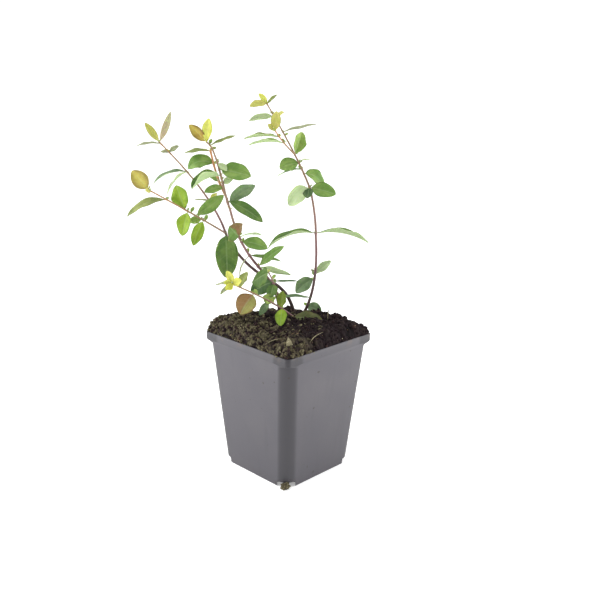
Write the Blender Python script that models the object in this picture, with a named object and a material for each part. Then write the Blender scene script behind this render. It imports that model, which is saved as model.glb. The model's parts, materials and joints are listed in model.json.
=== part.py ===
"""A young hypericum shrub growing in a square plastic nursery pot.

The pot stands square to the X and Y axes, with its flat underside on Z = 0 and the origin at the
middle of that underside. The plant is laid out in its own frame, as seen over one corner of the
pot: right, back and up. That frame is turned by PLANT_TURN about the vertical to stand in the pot.
"""

import math
import random

import bmesh
import bpy
from mathutils import Matrix, Vector
from mathutils.bvhtree import BVHTree

MM = 0.001
GAP = 0.3 * MM

# The pot: half widths are measured from the middle to a face.
POT_HEIGHT = 106 * MM
RIM_HEIGHT = 6 * MM
RIM_HALF = 45 * MM
RIM_CORNER = 3.6 * MM
WALL_TOP_HALF = 44.1 * MM
WALL_FOOT_HALF = 35.4 * MM
WALL_CORNER = 10.4 * MM
WALL_THICKNESS = 1.0 * MM
FLOOR_THICKNESS = 1.5 * MM
NOTCH_WIDTH = 13.4 * MM
NOTCH_HEIGHT = 4.3 * MM
NOTCH_REACH = 37 * MM
HOUSING_REACH = 41.5 * MM
CORNER_STEPS = 6

# The soil: a mound that fills the pot and meets the rim near its edge.
SOIL_EDGE_DROP = 1.2 * MM
MOUND_HEIGHT = 10.3 * MM
MOUND_SQUARENESS = 14
HUMP_PLACE = (-31 * MM, 26 * MM)
HUMP_HEIGHT = 3 * MM
HUMP_REACH = 22 * MM
HOLLOW_PLACE = (37 * MM, 34 * MM)
HOLLOW_DEPTH = 6 * MM
HOLLOW_REACH = 26 * MM
LUMP_HEIGHT = 1.5 * MM
LUMP_SIZE = 9 * MM
SOIL_RINGS = 12
SOIL_RING_EASE = 1.4
SOIL_SIDE_STEPS = 7

# The plant.
PLANT_TURN = math.radians(-45)
PLANT_SEED = 11
CANE_SIDES = 7
TWIG_SIDES = 5
STEM_STEP = 5 * MM
FOOT_PROBES = 8
LEAF_THICKNESS = 0.4 * MM
LEAF_SHARES = (0, 0.08, 0.22, 0.45, 0.7, 0.9, 1)
LEAF_STALK = 0.08
LEAF_ROOT_HALF = 0.45 * MM
LEAF_TIP_HALF = 0.2 * MM
LEAF_CLEARANCE = 0.35 * MM
TURN_JITTER = 20
TUFT_SPAN = (0.1, 0.95)
TUFT_LENGTH = (4.5, 7.5)
TUFT_TURN = (60, 120)
TUFT_RISE = (20, 55)
TUFT_WIDTH = 0.45

PLASTIC = ((0.215, 0.21, 0.225), 0.5)
EARTH = ((0.03, 0.019, 0.015), 0.95)
BARK = ((0.12, 0.05, 0.04), 0.6)
LEAF_GREEN = ((0.16, 0.30, 0.07), 0.5)
LEAF_DEEP = ((0.07, 0.17, 0.05), 0.45)
LEAF_GOLD = ((0.45, 0.47, 0.08), 0.5)


def drawn_in(points, along, left=1):
    """Points drawn together pair by pair, which gives a Bezier curve, until so many are left."""
    while len(points) > left:
        points = [a.lerp(b, along) for a, b in zip(points, points[1:])]
    return points


class Shoot:
    """One stem: where it starts, the points that bend it, where it ends, and its two diameters.

    It starts on the soil, at a place given as right and back, or from another stem, given as that
    stem's name and the share of the way along it.
    """

    def __init__(self, start, points, thick, thin, sides=TWIG_SIDES):
        self.start = start
        self.on_soil = not isinstance(start[0], str)
        foot = (*start, 0) if self.on_soil else (0, 0, 0)
        self.points = [Vector(point) * MM for point in (foot, *points)]
        self.thick = thick * MM
        self.thin = thin * MM
        self.sides = sides

    def at(self, along):
        """The stem's point a share of the way along its smooth bend."""
        return drawn_in(self.points, along)[0]

    def heading(self, along):
        """The way the stem points there."""
        before, after = drawn_in(self.points, along, 2)
        return (after - before).normalized()

    def radius(self, along):
        return (self.thick + (self.thin - self.thick) * along) / 2

    def stations(self):
        chord = (self.points[-1] - self.points[0]).length
        count = max(3, round(chord / STEM_STEP))
        return [i / count for i in range(count + 1)]


class Leaf:
    """One leaf: where it grows on its shoot, where it points and how its blade lies.

    turn is the compass angle it points to (0 right, 90 back, 180 left, 270 front) and rise its
    slope at the root. droop is how far it bends down towards its tip. face is how far the blade's
    upper side leans from straight up towards the front, and keel how far its two halves fold up.
    """

    def __init__(self, along, turn, rise, length, width, face=20, droop=25, keel=18):
        self.along = along
        self.turn = turn
        self.rise = rise
        self.length = length * MM
        self.width = width * MM
        self.face = face
        self.droop = droop
        self.keel = keel


# Bare canes, from the soil to where their leaves begin.
CANES = {
    "right_cane": Shoot((11.6, 26), [(23.3, 27, 134), (20.2, 30, 174.5)], 2.4, 1.9, CANE_SIDES),
    "left_cane": Shoot(
        (4.5, 25),
        [(-3.4, 24, 146.5), (-18.5, 25, 131.5), (-40.5, 27, 157.5), (-48.5, 29, 173)],
        2.8,
        2.1,
        CANE_SIDES,
    ),
    "middle_cane": Shoot(
        (-7, 14), [(-7.7, 13.5, 134.5), (-14, 13, 142), (-21.5, 12.2, 151.3)], 2.6, 2.2, CANE_SIDES
    ),
}

# Leafy shoots. Each carries on from the tip of a stem, branches off its side or stands on the soil.
SHOOTS = {
    "right_pair": Shoot(("right_cane", 1), [(20, 31, 190), (15.6, 33, 208.8)], 1.9, 1.7),
    "right_crown": Shoot(("right_pair", 1), [(7.5, 34, 231), (-18.6, 32, 274)], 1.7, 1.0),
    "right_side_shoot": Shoot(("right_crown", 0.5), [(-6.9, 27, 246.5), (-11.8, 23, 254.5)], 1.2, 0.9),
    "right_foot_shoot": Shoot((11.5, 32), [(19, 33, 124), (20.5, 34, 146)], 1.5, 1.1),
    "left_crown": Shoot(("left_cane", 1), [(-57.5, 32, 203), (-100.5, 36, 244.5)], 2.0, 1.0),
    "left_side_shoot": Shoot(("left_crown", 0.04), [(-71, 14, 192.5), (-103.5, 0, 213)], 1.5, 1.0),
    "middle_leaves": Shoot(
        ("middle_cane", 1), [(-29.2, 11.5, 160.5), (-38.2, 10.5, 171), (-44.3, 9, 197.2)], 2.1, 1.8
    ),
    "middle_crown": Shoot(
        ("middle_leaves", 1), [(-49, 8, 209), (-53.4, 7, 244), (-61, 6, 246.8)], 1.8, 1.1
    ),
    "middle_side_shoot": Shoot(("middle_crown", 0.2), [(-55, 12, 222), (-58.5, 9, 241)], 1.7, 1.5),
    "low_shoot": Shoot((4.6, 5), [(-7.6, -3, 129.5), (-42, -18, 148)], 1.6, 1.0),
    "low_tuft": Shoot((-3.8, 11), [(-8, 5, 137), (-15.5, -1, 153)], 1.6, 1.0),
}

LEAVES = {
    "right_pair": [
        Leaf(0.06, 183, 14, 40.5, 12, face=3, droop=54, keel=42),
        Leaf(0.06, 3, 14, 44, 13, face=-6, droop=42, keel=45),
    ],
    "right_crown": [
        Leaf(0.05, 335, -5, 21, 13, face=64, droop=12),
        Leaf(0.05, 254, -38, 9.5, 9, face=0),
        Leaf(0.06, 205, -26, 22, 15, face=-80, droop=20),
        Leaf(0.26, 12, 14, 20, 12, face=56, droop=80),
        Leaf(0.32, 172, 2, 22, 7, face=16, droop=34),
        Leaf(0.39, 195, 10, 16, 13, face=52, droop=40),
        Leaf(0.42, 15, 20, 10, 4, face=-20),
        Leaf(0.50, 48, 62, 19, 13, face=66, droop=5, keel=34),
        Leaf(0.74, 12, 18, 26, 6, face=20, droop=8),
        Leaf(0.88, 182, 12, 20, 6, face=-62, droop=36),
        Leaf(0.88, 350, 30, 9, 5, face=45, droop=10),
        Leaf(0.99, 185, 20, 14, 6.5, face=55, droop=45),
        Leaf(0.99, 150, 62, 10.5, 4.5, face=60),
        Leaf(0.99, 10, 58, 10.5, 3.6, face=50),
    ],
    "right_side_shoot": [
        Leaf(0.42, 178, 14, 27, 9, face=3, droop=30, keel=42),
        Leaf(0.70, 186, 12, 27, 9, face=3, droop=26, keel=42),
        Leaf(0.97, 85, 84, 15.5, 8, face=0),
        Leaf(0.97, 165, 55, 8, 5, face=60),
    ],
    "right_foot_shoot": [
        Leaf(0.20, 338, 2, 14, 10.5, face=62, droop=20),
        Leaf(0.84, 186, -19, 19, 12, face=66, droop=35),
        Leaf(0.93, 12, 46, 17, 7.5, face=-72, droop=6),
        Leaf(0.94, 165, 60, 5, 3, face=40),
    ],
    "left_crown": [
        Leaf(0.04, 276, -36, 36.5, 18.5, face=0, droop=54),
        Leaf(0.40, 15, 70, 9, 5, face=50),
        Leaf(0.42, 178, 6, 13, 4, face=14, droop=10),
        Leaf(0.72, 172, 12, 29, 7.5, face=14, droop=54, keel=30),
        Leaf(0.72, 225, -8, 27, 8, face=-36, droop=45, keel=30),
        Leaf(0.90, 30, 48, 9, 4.5, face=50),
        Leaf(0.90, 175, 18, 8, 4, face=45),
        Leaf(0.99, 165, 52, 19, 6, face=66, droop=5),
        Leaf(0.99, 15, 62, 25, 5.5, face=66, droop=-8),
        Leaf(0.98, 190, 13, 19, 4.5, face=24, droop=30),
    ],
    "left_side_shoot": [
        Leaf(0.44, 5, 26, 26.5, 10.5, face=64, droop=-14),
        Leaf(0.34, 195, 8, 10, 7, face=62, droop=35),
        Leaf(0.32, 215, -50, 21, 10, face=72, droop=20),
        Leaf(0.58, 175, 72, 19, 14.5, face=82, droop=5),
        Leaf(0.54, 225, -66, 19, 13, face=20, droop=12),
        Leaf(0.79, 190, 9, 34, 8, face=40, droop=54),
        Leaf(0.99, 184, 52, 18, 13, face=80, droop=5, keel=20),
        Leaf(0.97, 240, 20, 7, 5, face=60, droop=20),
    ],
    "middle_leaves": [
        Leaf(0.08, 352, 47, 28, 9, face=62, droop=12),
        Leaf(0.07, 345, -9, 26, 7, face=-60, droop=3),
        Leaf(0.36, 20, -4, 25, 6, face=30, droop=14),
        Leaf(0.36, 198, -30, 20, 1.6, face=30, droop=60),
        Leaf(0.68, 235, 45, 15, 17.5, face=100, droop=6),
        Leaf(0.61, 340, 12, 22, 10.5, face=56, droop=35),
        Leaf(0.68, 30, 18, 24, 4, face=-40, droop=36),
    ],
    "middle_crown": [
        Leaf(0.15, 340, -14, 31, 10, face=54, droop=24),
        Leaf(0.12, 25, 27, 28, 12, face=44, droop=6, keel=30),
        Leaf(0.31, 195, 10, 15, 7, face=56, droop=36),
        Leaf(0.36, 350, 45, 9, 6, face=50),
        Leaf(0.46, 200, 8, 26, 17, face=-6, droop=46, keel=60),
        Leaf(0.53, 350, -5, 24, 15.5, face=56, droop=10, keel=25),
        Leaf(0.60, 345, -20, 9, 6, face=40),
        Leaf(0.88, 18, 27, 20, 5.5, face=22, droop=10),
        Leaf(0.99, 172, 43, 19, 8.5, face=78, droop=8),
        Leaf(0.99, 75, 85, 18, 8, face=0),
    ],
    "middle_side_shoot": [
        Leaf(0.25, 150, 40, 12, 6, face=30),
        Leaf(0.70, 190, 42, 22, 12, face=54, droop=88),
        Leaf(0.98, 174, 8, 21, 6, face=22, droop=24),
        Leaf(0.98, 70, 30, 9, 4, face=20),
    ],
    "low_shoot": [
        Leaf(0.06, 338, 0, 24, 12, face=44, droop=12),
        Leaf(0.31, 266, -11, 20, 9.5, face=0, droop=24),
        Leaf(0.33, 62, 80, 13, 8.5, face=0, droop=6),
        Leaf(0.47, 190, 52, 10, 8.5, face=72),
        Leaf(0.52, 205, -34, 13, 6, face=60),
        Leaf(0.74, 232, -31, 19, 16.5, face=34, droop=24),
        Leaf(0.90, 60, 70, 13, 8, face=0),
        Leaf(0.98, 350, 42, 8.5, 7, face=75),
        Leaf(0.97, 215, 4, 9, 6, face=70),
        Leaf(0.98, 140, 72, 11, 6, face=66),
        Leaf(0.98, 190, 34, 8, 5, face=66),
        Leaf(0.99, 172, 4, 15, 4.5, face=20),
        Leaf(0.99, 212, -18, 12, 4, face=20),
    ],
    "low_tuft": [
        Leaf(0.42, 24, -4, 27, 7, face=8, droop=4),
        Leaf(0.76, 352, 4, 19, 3, face=20, droop=4),
        Leaf(0.74, 165, -10, 19, 13, face=68, droop=30),
        Leaf(0.98, 222, -2, 20, 18, face=98, droop=15),
        Leaf(0.70, 255, -30, 12, 10, face=0),
    ],
}

DEEP_SHOOTS = ("right_pair", "right_foot_shoot", "middle_leaves", "low_tuft")
GOLD_SHOOTS = ("right_side_shoot", "low_shoot")


def material(name, looks):
    """A plain Principled material from a colour and a roughness."""
    colour, roughness = looks
    made = bpy.data.materials.new(name)
    made.use_nodes = True
    shader = made.node_tree.nodes["Principled BSDF"]
    shader.inputs["Base Color"].default_value = (*colour, 1)
    shader.inputs["Roughness"].default_value = roughness
    shader.inputs["Metallic"].default_value = 0
    made.diffuse_color = (*colour, 1)
    return made


def object_from(bm, name, finish):
    mesh = bpy.data.meshes.new(name)
    bm.to_mesh(mesh)
    bm.free()
    made = bpy.data.objects.new(name, mesh)
    made.data.materials.append(finish)
    bpy.context.scene.collection.objects.link(made)
    return made


def ring_points(half, corner, height):
    """A square with round corners, as points that run anticlockwise at one height."""
    points = []
    for quarter in range(4):
        middle = math.pi / 4 + quarter * math.pi / 2
        for step in range(CORNER_STEPS + 1):
            angle = middle - math.pi / 4 + step / CORNER_STEPS * math.pi / 2
            across = math.copysign(half - corner, math.cos(middle)) + corner * math.cos(angle)
            along = math.copysign(half - corner, math.sin(middle)) + corner * math.sin(angle)
            points.append(Vector((across, along, height)))
    return points


def loft(bm, rings):
    """Skin a row of rings with equal counts, and close the first and the last."""
    loops = [[bm.verts.new(p) for p in ring] for ring in rings]
    for lower, upper in zip(loops, loops[1:]):
        count = len(lower)
        for i in range(count):
            j = (i + 1) % count
            bm.faces.new((lower[i], lower[j], upper[j], upper[i]))
    bm.faces.new(reversed(loops[0]))
    bm.faces.new(loops[-1])
    return loops


def wall_half(height):
    share = height / (POT_HEIGHT - RIM_HEIGHT)
    return WALL_FOOT_HALF + (WALL_TOP_HALF - WALL_FOOT_HALF) * share


def apply_modifiers(made):
    """Put the evaluated mesh in the object's place, without its modifiers."""
    bpy.context.view_layer.update()
    evaluated = made.evaluated_get(bpy.context.evaluated_depsgraph_get())
    plain = bpy.data.meshes.new_from_object(evaluated)
    made.modifiers.clear()
    made.data = plain


def corner_boxes(near, far, width, low, high):
    """A box at each corner, along the diagonal from near to far, for a Boolean."""
    bm = bmesh.new()
    middle = Matrix.Translation(((near + far) / 2, 0, (low + high) / 2))
    size = Matrix.Diagonal((far - near, width, high - low, 1))
    for quarter in range(4):
        turn = Matrix.Rotation(math.pi / 4 + quarter * math.pi / 2, 4, "Z")
        bmesh.ops.create_cube(bm, size=1, matrix=turn @ middle @ size)
    return bm


def combine(made, boxes, operation):
    """Add the boxes to an object, or cut them from it."""
    helper = object_from(boxes, made.name + "_boxes", made.data.materials[0])
    step = made.modifiers.new("boxes", "BOOLEAN")
    step.operation = operation
    step.object = helper
    apply_modifiers(made)
    bpy.data.objects.remove(helper)


def pot():
    """The pot: a tapered square shell with a lip.

    At the foot of each corner a small housing stands up from the floor, open to the outside and
    below, and open at its top along the wall, where the pot drains.
    """
    ledge = POT_HEIGHT - RIM_HEIGHT
    lining = WALL_CORNER - WALL_THICKNESS
    rings = [
        ring_points(WALL_FOOT_HALF, WALL_CORNER, 0),
        ring_points(WALL_TOP_HALF, WALL_CORNER, ledge),
        ring_points(RIM_HALF, RIM_CORNER, ledge),
        ring_points(RIM_HALF, RIM_CORNER, POT_HEIGHT),
        ring_points(RIM_HALF - WALL_THICKNESS, RIM_CORNER - WALL_THICKNESS, POT_HEIGHT),
        ring_points(RIM_HALF - WALL_THICKNESS, RIM_CORNER - WALL_THICKNESS, ledge + WALL_THICKNESS),
        ring_points(WALL_TOP_HALF - WALL_THICKNESS, lining, ledge),
        ring_points(wall_half(FLOOR_THICKNESS) - WALL_THICKNESS, lining, FLOOR_THICKNESS),
    ]
    bm = bmesh.new()
    loft(bm, rings)
    bmesh.ops.recalc_face_normals(bm, faces=bm.faces)
    shell = object_from(bm, "pot", material("pot_plastic", PLASTIC))
    top = NOTCH_HEIGHT + WALL_THICKNESS
    width = NOTCH_WIDTH + 2 * WALL_THICKNESS
    near = NOTCH_REACH - WALL_THICKNESS
    combine(shell, corner_boxes(near, HOUSING_REACH, width, FLOOR_THICKNESS / 2, top), "UNION")
    combine(shell, corner_boxes(NOTCH_REACH, 2 * RIM_HALF, NOTCH_WIDTH, -top, NOTCH_HEIGHT), "DIFFERENCE")
    return shell


def lump(x, y):
    """A gentle unevenness from a few crossing waves, between about -1 and 1."""
    u = x / LUMP_SIZE
    v = y / LUMP_SIZE
    one_way = math.sin(2.3 * u + 1.7 * math.sin(1.1 * v))
    other_way = math.sin(2.7 * v + 1.3 * math.sin(1.4 * u + 2))
    return (one_way + other_way) / 2


def soil_height(x, y):
    """The mound's top: level with the rim at its edge, and lumpy in between, with a hump and a hollow."""
    reach = RIM_HALF - WALL_THICKNESS - GAP
    share = max(abs(x / reach), abs(y / reach))
    swell = 1 - min(1, share) ** MOUND_SQUARENESS
    edge = POT_HEIGHT - SOIL_EDGE_DROP
    from_hump = math.hypot(x - HUMP_PLACE[0], y - HUMP_PLACE[1]) / HUMP_REACH
    from_hollow = math.hypot(x - HOLLOW_PLACE[0], y - HOLLOW_PLACE[1]) / HOLLOW_REACH
    raised = MOUND_HEIGHT + HUMP_HEIGHT * math.exp(-from_hump * from_hump) + LUMP_HEIGHT * lump(x, y)
    raised -= HOLLOW_DEPTH * math.exp(-from_hollow * from_hollow)
    return edge + raised * swell


def soil():
    """The soil: 0.3 mm clear of the pot's wall, floor and drain housings, and mounded above the rim."""
    clear = WALL_THICKNESS + GAP
    ledge = POT_HEIGHT - RIM_HEIGHT
    bottom = FLOOR_THICKNESS + GAP
    corner = WALL_CORNER - clear
    rings = []
    for step in range(SOIL_SIDE_STEPS):
        height = bottom + (ledge - bottom) * step / (SOIL_SIDE_STEPS - 1)
        rings.append(ring_points(wall_half(height) - clear, corner, height))
    lip = ring_points(RIM_HALF - clear, RIM_CORNER - clear, ledge + clear)
    rings.append(lip)
    for step in range(SOIL_RINGS):
        share = 1 - (step / SOIL_RINGS) ** SOIL_RING_EASE
        ring = [Vector((p.x * share, p.y * share, 0)) for p in lip]
        for p in ring:
            p.z = soil_height(p.x, p.y)
        rings.append(ring)
    bm = bmesh.new()
    loft(bm, rings)
    bmesh.ops.triangulate(bm, faces=bm.faces)
    bmesh.ops.recalc_face_normals(bm, faces=bm.faces)
    made = object_from(bm, "soil", material("soil", EARTH))
    near = NOTCH_REACH - WALL_THICKNESS - GAP
    width = NOTCH_WIDTH + 2 * WALL_THICKNESS + 2 * GAP
    top = NOTCH_HEIGHT + WALL_THICKNESS + GAP
    combine(made, corner_boxes(near, 2 * RIM_HALF, width, -top, top), "DIFFERENCE")
    return made


def tree_of(made, turn=0.0):
    """An object's mesh as a tree to test against, turned about the vertical."""
    bm = bmesh.new()
    bm.from_mesh(made.data)
    bm.transform(Matrix.Rotation(turn, 4, "Z"))
    tree = BVHTree.FromBMesh(bm)
    bm.free()
    return tree


def stand_on_soil(shoot, ground):
    """Raise or lower a shoot's first point until its flat foot just clears the soil."""
    start = shoot.points[0]
    tops = []
    for step in range(FOOT_PROBES):
        angle = step / FOOT_PROBES * 2 * math.pi
        spot = start + Vector((math.cos(angle), math.sin(angle), 0)) * shoot.thick / 2
        spot.z = 2 * POT_HEIGHT
        tops.append(ground.ray_cast(spot, Vector((0, 0, -1)))[0].z)
    start.z = max(tops) + GAP


def start_from(shoot, parent):
    """Start a shoot 0.3 mm clear of its parent's tip, or of its side."""
    along = shoot.start[1]
    place = parent.at(along)
    if along == 1:
        shoot.points[0] = place + parent.heading(1) * GAP
        return
    way = (shoot.points[1] - place).normalized()
    spread = way.angle(parent.heading(along))
    clear = parent.radius(along) + GAP + shoot.thick / 2 * math.cos(spread)
    shoot.points[0] = place + way * (clear / math.sin(spread))


def tube(bm, shoot):
    """A tapering stem, with a level cut where it stands on the soil."""
    rings = []
    stations = shoot.stations()
    side = Vector((0, 0, 1)).cross(shoot.heading(0)).normalized()
    for along in stations:
        heading = shoot.heading(along)
        other = heading.cross(side).normalized()
        side = other.cross(heading).normalized()
        radius = shoot.radius(along)
        ring = []
        for step in range(shoot.sides):
            angle = step / shoot.sides * 2 * math.pi
            offset = side * math.cos(angle) + other * math.sin(angle)
            if along == 0 and shoot.on_soil:
                offset = Vector((offset.x, offset.y, 0)).normalized()
            ring.append(shoot.at(along) + offset * radius)
        rings.append(ring)
    loft(bm, rings)


def outline(leaf, share):
    """A blade's half width: a short stalk, then an ellipse that is widest below its middle."""
    if share <= LEAF_STALK:
        return LEAF_ROOT_HALF
    through = (share - LEAF_STALK) / (1 - LEAF_STALK)
    half = leaf.width / 2 * math.sin(math.pi * through**0.9) ** 0.68
    return max(LEAF_TIP_HALF, half)


def blade(bm, shoot, leaf, turn, swell=0.0):
    """A leaf as one thin closed solid, from inside its stem to its tip."""
    compass = math.radians(turn)
    level = Vector((math.cos(compass), math.sin(compass), 0))
    across = Vector((math.sin(compass), -math.cos(compass), 0))
    lean = math.radians(leaf.face) * (1 if math.cos(compass) >= 0 else -1)
    keel = math.radians(leaf.keel)
    half_thick = LEAF_THICKNESS / 2 + swell
    place = shoot.at(leaf.along)
    rings = []
    last = 0
    for share in LEAF_SHARES:
        slope = math.radians(leaf.rise - leaf.droop * share)
        forward = level * math.cos(slope) + Vector((0, 0, math.sin(slope)))
        upright = level * -math.sin(slope) + Vector((0, 0, math.cos(slope)))
        normal = upright * math.cos(lean) + across * math.sin(lean)
        side = forward.cross(normal)
        place = place + forward * leaf.length * (share - last)
        last = share
        half = outline(leaf, share) + swell
        rib = place
        left = place - side * half * math.cos(keel) + normal * half * math.sin(keel)
        right = place + side * half * math.cos(keel) + normal * half * math.sin(keel)
        up = normal * half_thick
        rings.append([left - up, rib - up, right - up, right + up, rib + up, left + up])
    loft(bm, rings)


def closed_solid(build):
    """The vertices and faces of one blade or stem, built on its own."""
    bm = bmesh.new()
    build(bm)
    bmesh.ops.recalc_face_normals(bm, faces=bm.faces)
    return bm


def grow(shoot, leaves, others, rule):
    """One mass of foliage: a stem, its listed leaves turned a little by the rule, and small tufts.

    others are the trees of everything that the mass must keep clear of. A leaf that would touch
    one of them is skipped.
    """
    wanted = []
    for leaf in leaves:
        sideways = abs(math.cos(math.radians(leaf.turn)))
        wanted.append((leaf, leaf.turn + rule.uniform(-TURN_JITTER, TURN_JITTER) * sideways))
    for along in sorted({round(leaf.along, 1) for leaf in leaves}):
        if TUFT_SPAN[0] < along < TUFT_SPAN[1]:
            length = rule.uniform(*TUFT_LENGTH)
            turn = rule.uniform(*TUFT_TURN)
            rise = rule.uniform(*TUFT_RISE)
            wanted.append((Leaf(along, turn, rise, length, length * TUFT_WIDTH), turn))

    parts = [closed_solid(lambda bm: tube(bm, shoot))]
    for leaf, turn in wanted:
        test = closed_solid(lambda bm: blade(bm, shoot, leaf, turn, LEAF_CLEARANCE))
        test_tree = BVHTree.FromBMesh(test)
        test.free()
        if not any(test_tree.overlap(tree) for tree in others):
            parts.append(closed_solid(lambda bm: blade(bm, shoot, leaf, turn)))
    return parts


def joined(name, parts, finish):
    """One closed body from a stem and its leaves, by one Boolean union on a collection."""
    stem = object_from(parts[0], name, finish)
    group = bpy.data.collections.new(name + "_leaves")
    bpy.context.scene.collection.children.link(group)
    for part in parts[1:]:
        piece = object_from(part, name + "_leaf", finish)
        bpy.context.scene.collection.objects.unlink(piece)
        group.objects.link(piece)
    union = stem.modifiers.new("join", "BOOLEAN")
    union.operation = "UNION"
    union.operand_type = "COLLECTION"
    union.collection = group
    apply_modifiers(stem)
    for piece in list(group.objects):
        bpy.data.objects.remove(piece)
    bpy.data.collections.remove(group)
    return stem


def foliage_finish(name, finishes):
    if name in DEEP_SHOOTS:
        return finishes["deep"]
    if name in GOLD_SHOOTS:
        return finishes["gold"]
    return finishes["green"]


def plant(shell, mound):
    """The canes first, then each leafy shoot, kept clear of all that stands before it."""
    rule = random.Random(PLANT_SEED)
    frame = bpy.data.objects.new("plant", None)
    frame.rotation_euler.z = PLANT_TURN
    bpy.context.scene.collection.objects.link(frame)
    bark = material("bark", BARK)
    finishes = {
        "green": material("leaf_green", LEAF_GREEN),
        "deep": material("leaf_deep", LEAF_DEEP),
        "gold": material("leaf_gold", LEAF_GOLD),
    }
    ground = tree_of(mound, -PLANT_TURN)
    every = {**CANES, **SHOOTS}
    stems = {}
    for name, shoot in every.items():
        if shoot.on_soil:
            stand_on_soil(shoot, ground)
        else:
            start_from(shoot, every[shoot.start[0]])
        solid = closed_solid(lambda bm: tube(bm, shoot))
        stems[name] = BVHTree.FromBMesh(solid)
        solid.free()

    for name, shoot in CANES.items():
        cane = object_from(closed_solid(lambda bm: tube(bm, shoot)), name, bark)
        cane.data.shade_smooth()
        cane.parent = frame
    taken = [ground, tree_of(shell, -PLANT_TURN)]
    for name, shoot in SHOOTS.items():
        others = [tree for key, tree in stems.items() if key != name]
        parts = grow(shoot, LEAVES[name], others + taken, rule)
        mass = joined(name, parts, foliage_finish(name, finishes))
        mass.parent = frame
        taken.append(tree_of(mass))


def clear_scene():
    for old in list(bpy.data.objects):
        bpy.data.objects.remove(old)


clear_scene()
plant(pot(), soil())
bpy.context.view_layer.update()
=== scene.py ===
"""A young hypericum shrub in a square nursery pot: the finish of every surface.

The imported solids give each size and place. The pot and the soil are made again here with softer
edges and crumbs, and the canes with the relief of their bark. Each mass of foliage is grown
again by the source's rule, with finer leaves and the small shoots in their axils. The plant is
laid out in its own frame, as seen over one corner of the pot: right, back and up.
"""

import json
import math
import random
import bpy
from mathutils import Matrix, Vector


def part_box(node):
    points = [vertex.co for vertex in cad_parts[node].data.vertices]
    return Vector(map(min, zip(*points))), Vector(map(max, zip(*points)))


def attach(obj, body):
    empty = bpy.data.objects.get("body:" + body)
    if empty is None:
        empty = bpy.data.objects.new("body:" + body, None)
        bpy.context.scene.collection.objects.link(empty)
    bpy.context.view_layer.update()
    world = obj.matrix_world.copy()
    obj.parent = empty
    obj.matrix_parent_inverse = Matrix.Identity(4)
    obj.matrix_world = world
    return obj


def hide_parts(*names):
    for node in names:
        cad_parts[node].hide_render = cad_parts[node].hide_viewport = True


bl_info = {
    "name": "Potted Hypericum Shrub",
    "version": (1, 0, 0),
    "blender": (4, 5, 0),
    "location": "3D View > Sidebar > Shrub",
    "description": "A young leafy shrub in a square nursery pot",
    "category": "Add Mesh",
}

import bmesh
import bpy
from bpy.props import FloatProperty, FloatVectorProperty, IntProperty, PointerProperty
from mathutils import Matrix, Vector, noise
from mathutils.bvhtree import BVHTree

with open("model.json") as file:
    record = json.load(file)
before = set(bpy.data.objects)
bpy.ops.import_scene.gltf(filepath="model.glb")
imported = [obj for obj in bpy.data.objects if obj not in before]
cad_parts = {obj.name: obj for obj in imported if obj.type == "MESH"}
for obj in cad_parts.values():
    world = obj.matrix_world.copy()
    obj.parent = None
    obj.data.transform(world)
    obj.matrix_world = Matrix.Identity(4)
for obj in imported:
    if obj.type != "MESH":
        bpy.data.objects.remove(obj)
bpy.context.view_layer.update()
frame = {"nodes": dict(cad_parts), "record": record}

MM = 0.001
GAP = 0.3 * MM
POT_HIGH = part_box("pot")[1]
BODY = "root"

# The pot, as in the source. Half widths are measured from the middle to a face.
POT_HEIGHT = POT_HIGH.z
RIM_HALF = POT_HIGH.x
RIM_HEIGHT = 6 * MM
LEDGE = POT_HEIGHT - RIM_HEIGHT
RIM_CORNER = 3.6 * MM
WALL_TOP_HALF = 44.1 * MM
WALL_FOOT_HALF = 35.4 * MM
WALL_CORNER = 10.4 * MM
WALL_THICKNESS = 1.0 * MM
FLOOR_THICKNESS = 1.5 * MM
NOTCH_WIDTH = 13.4 * MM
NOTCH_HEIGHT = 4.3 * MM
NOTCH_REACH = 37 * MM
HOUSING_REACH = 41.5 * MM
CORNER_STEPS = 14

# The soil's mound, as in the source.
SOIL_EDGE_DROP = 1.2 * MM
MOUND_HEIGHT = 10.3 * MM
MOUND_SQUARENESS = 14
HUMP_PLACE = (-31 * MM, 26 * MM)
HUMP_HEIGHT = 3 * MM
HUMP_REACH = 22 * MM
HOLLOW_PLACE = (37 * MM, 34 * MM)
HOLLOW_DEPTH = 6 * MM
HOLLOW_REACH = 26 * MM
LUMP_HEIGHT = 1.5 * MM
LUMP_SIZE = 9 * MM

# The plant, as in the source.
PLANT_TURN = Matrix.Rotation(math.radians(-45), 4, "Z")
PLANT_SEED = 11
FOOT_PROBES = 8
TURN_JITTER = 20
TUFT_SPAN = (0.1, 0.95)
TUFT_LENGTH = (4.5, 7.5)
TUFT_TURN = (60, 120)
TUFT_RISE = (20, 55)
TUFT_WIDTH = 0.45
LEAF_STALK = 0.08
LEAF_ROOT_HALF = 0.45 * MM
# The source bends a blade in six straight stretches, each at the slope of its outer end.
LEAF_LAG = 0.08

# The finer leaves that only the scene has: in the axils, and a folded pair at each tip.
AXIL_LENGTH = (2, 3.8)
AXIL_RISE = (35, 75)
AXIL_WIDTH = 0.42
AXIL_TINTS = ("fresh", "lime", "olive", "yellow")
TIP_PLACE = 0.995
TIP_TURNS = (20, 200)
TIP_RISE = 70
TIP_LENGTH = (2.5, 4)
TIP_WIDTH = 0.4

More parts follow.
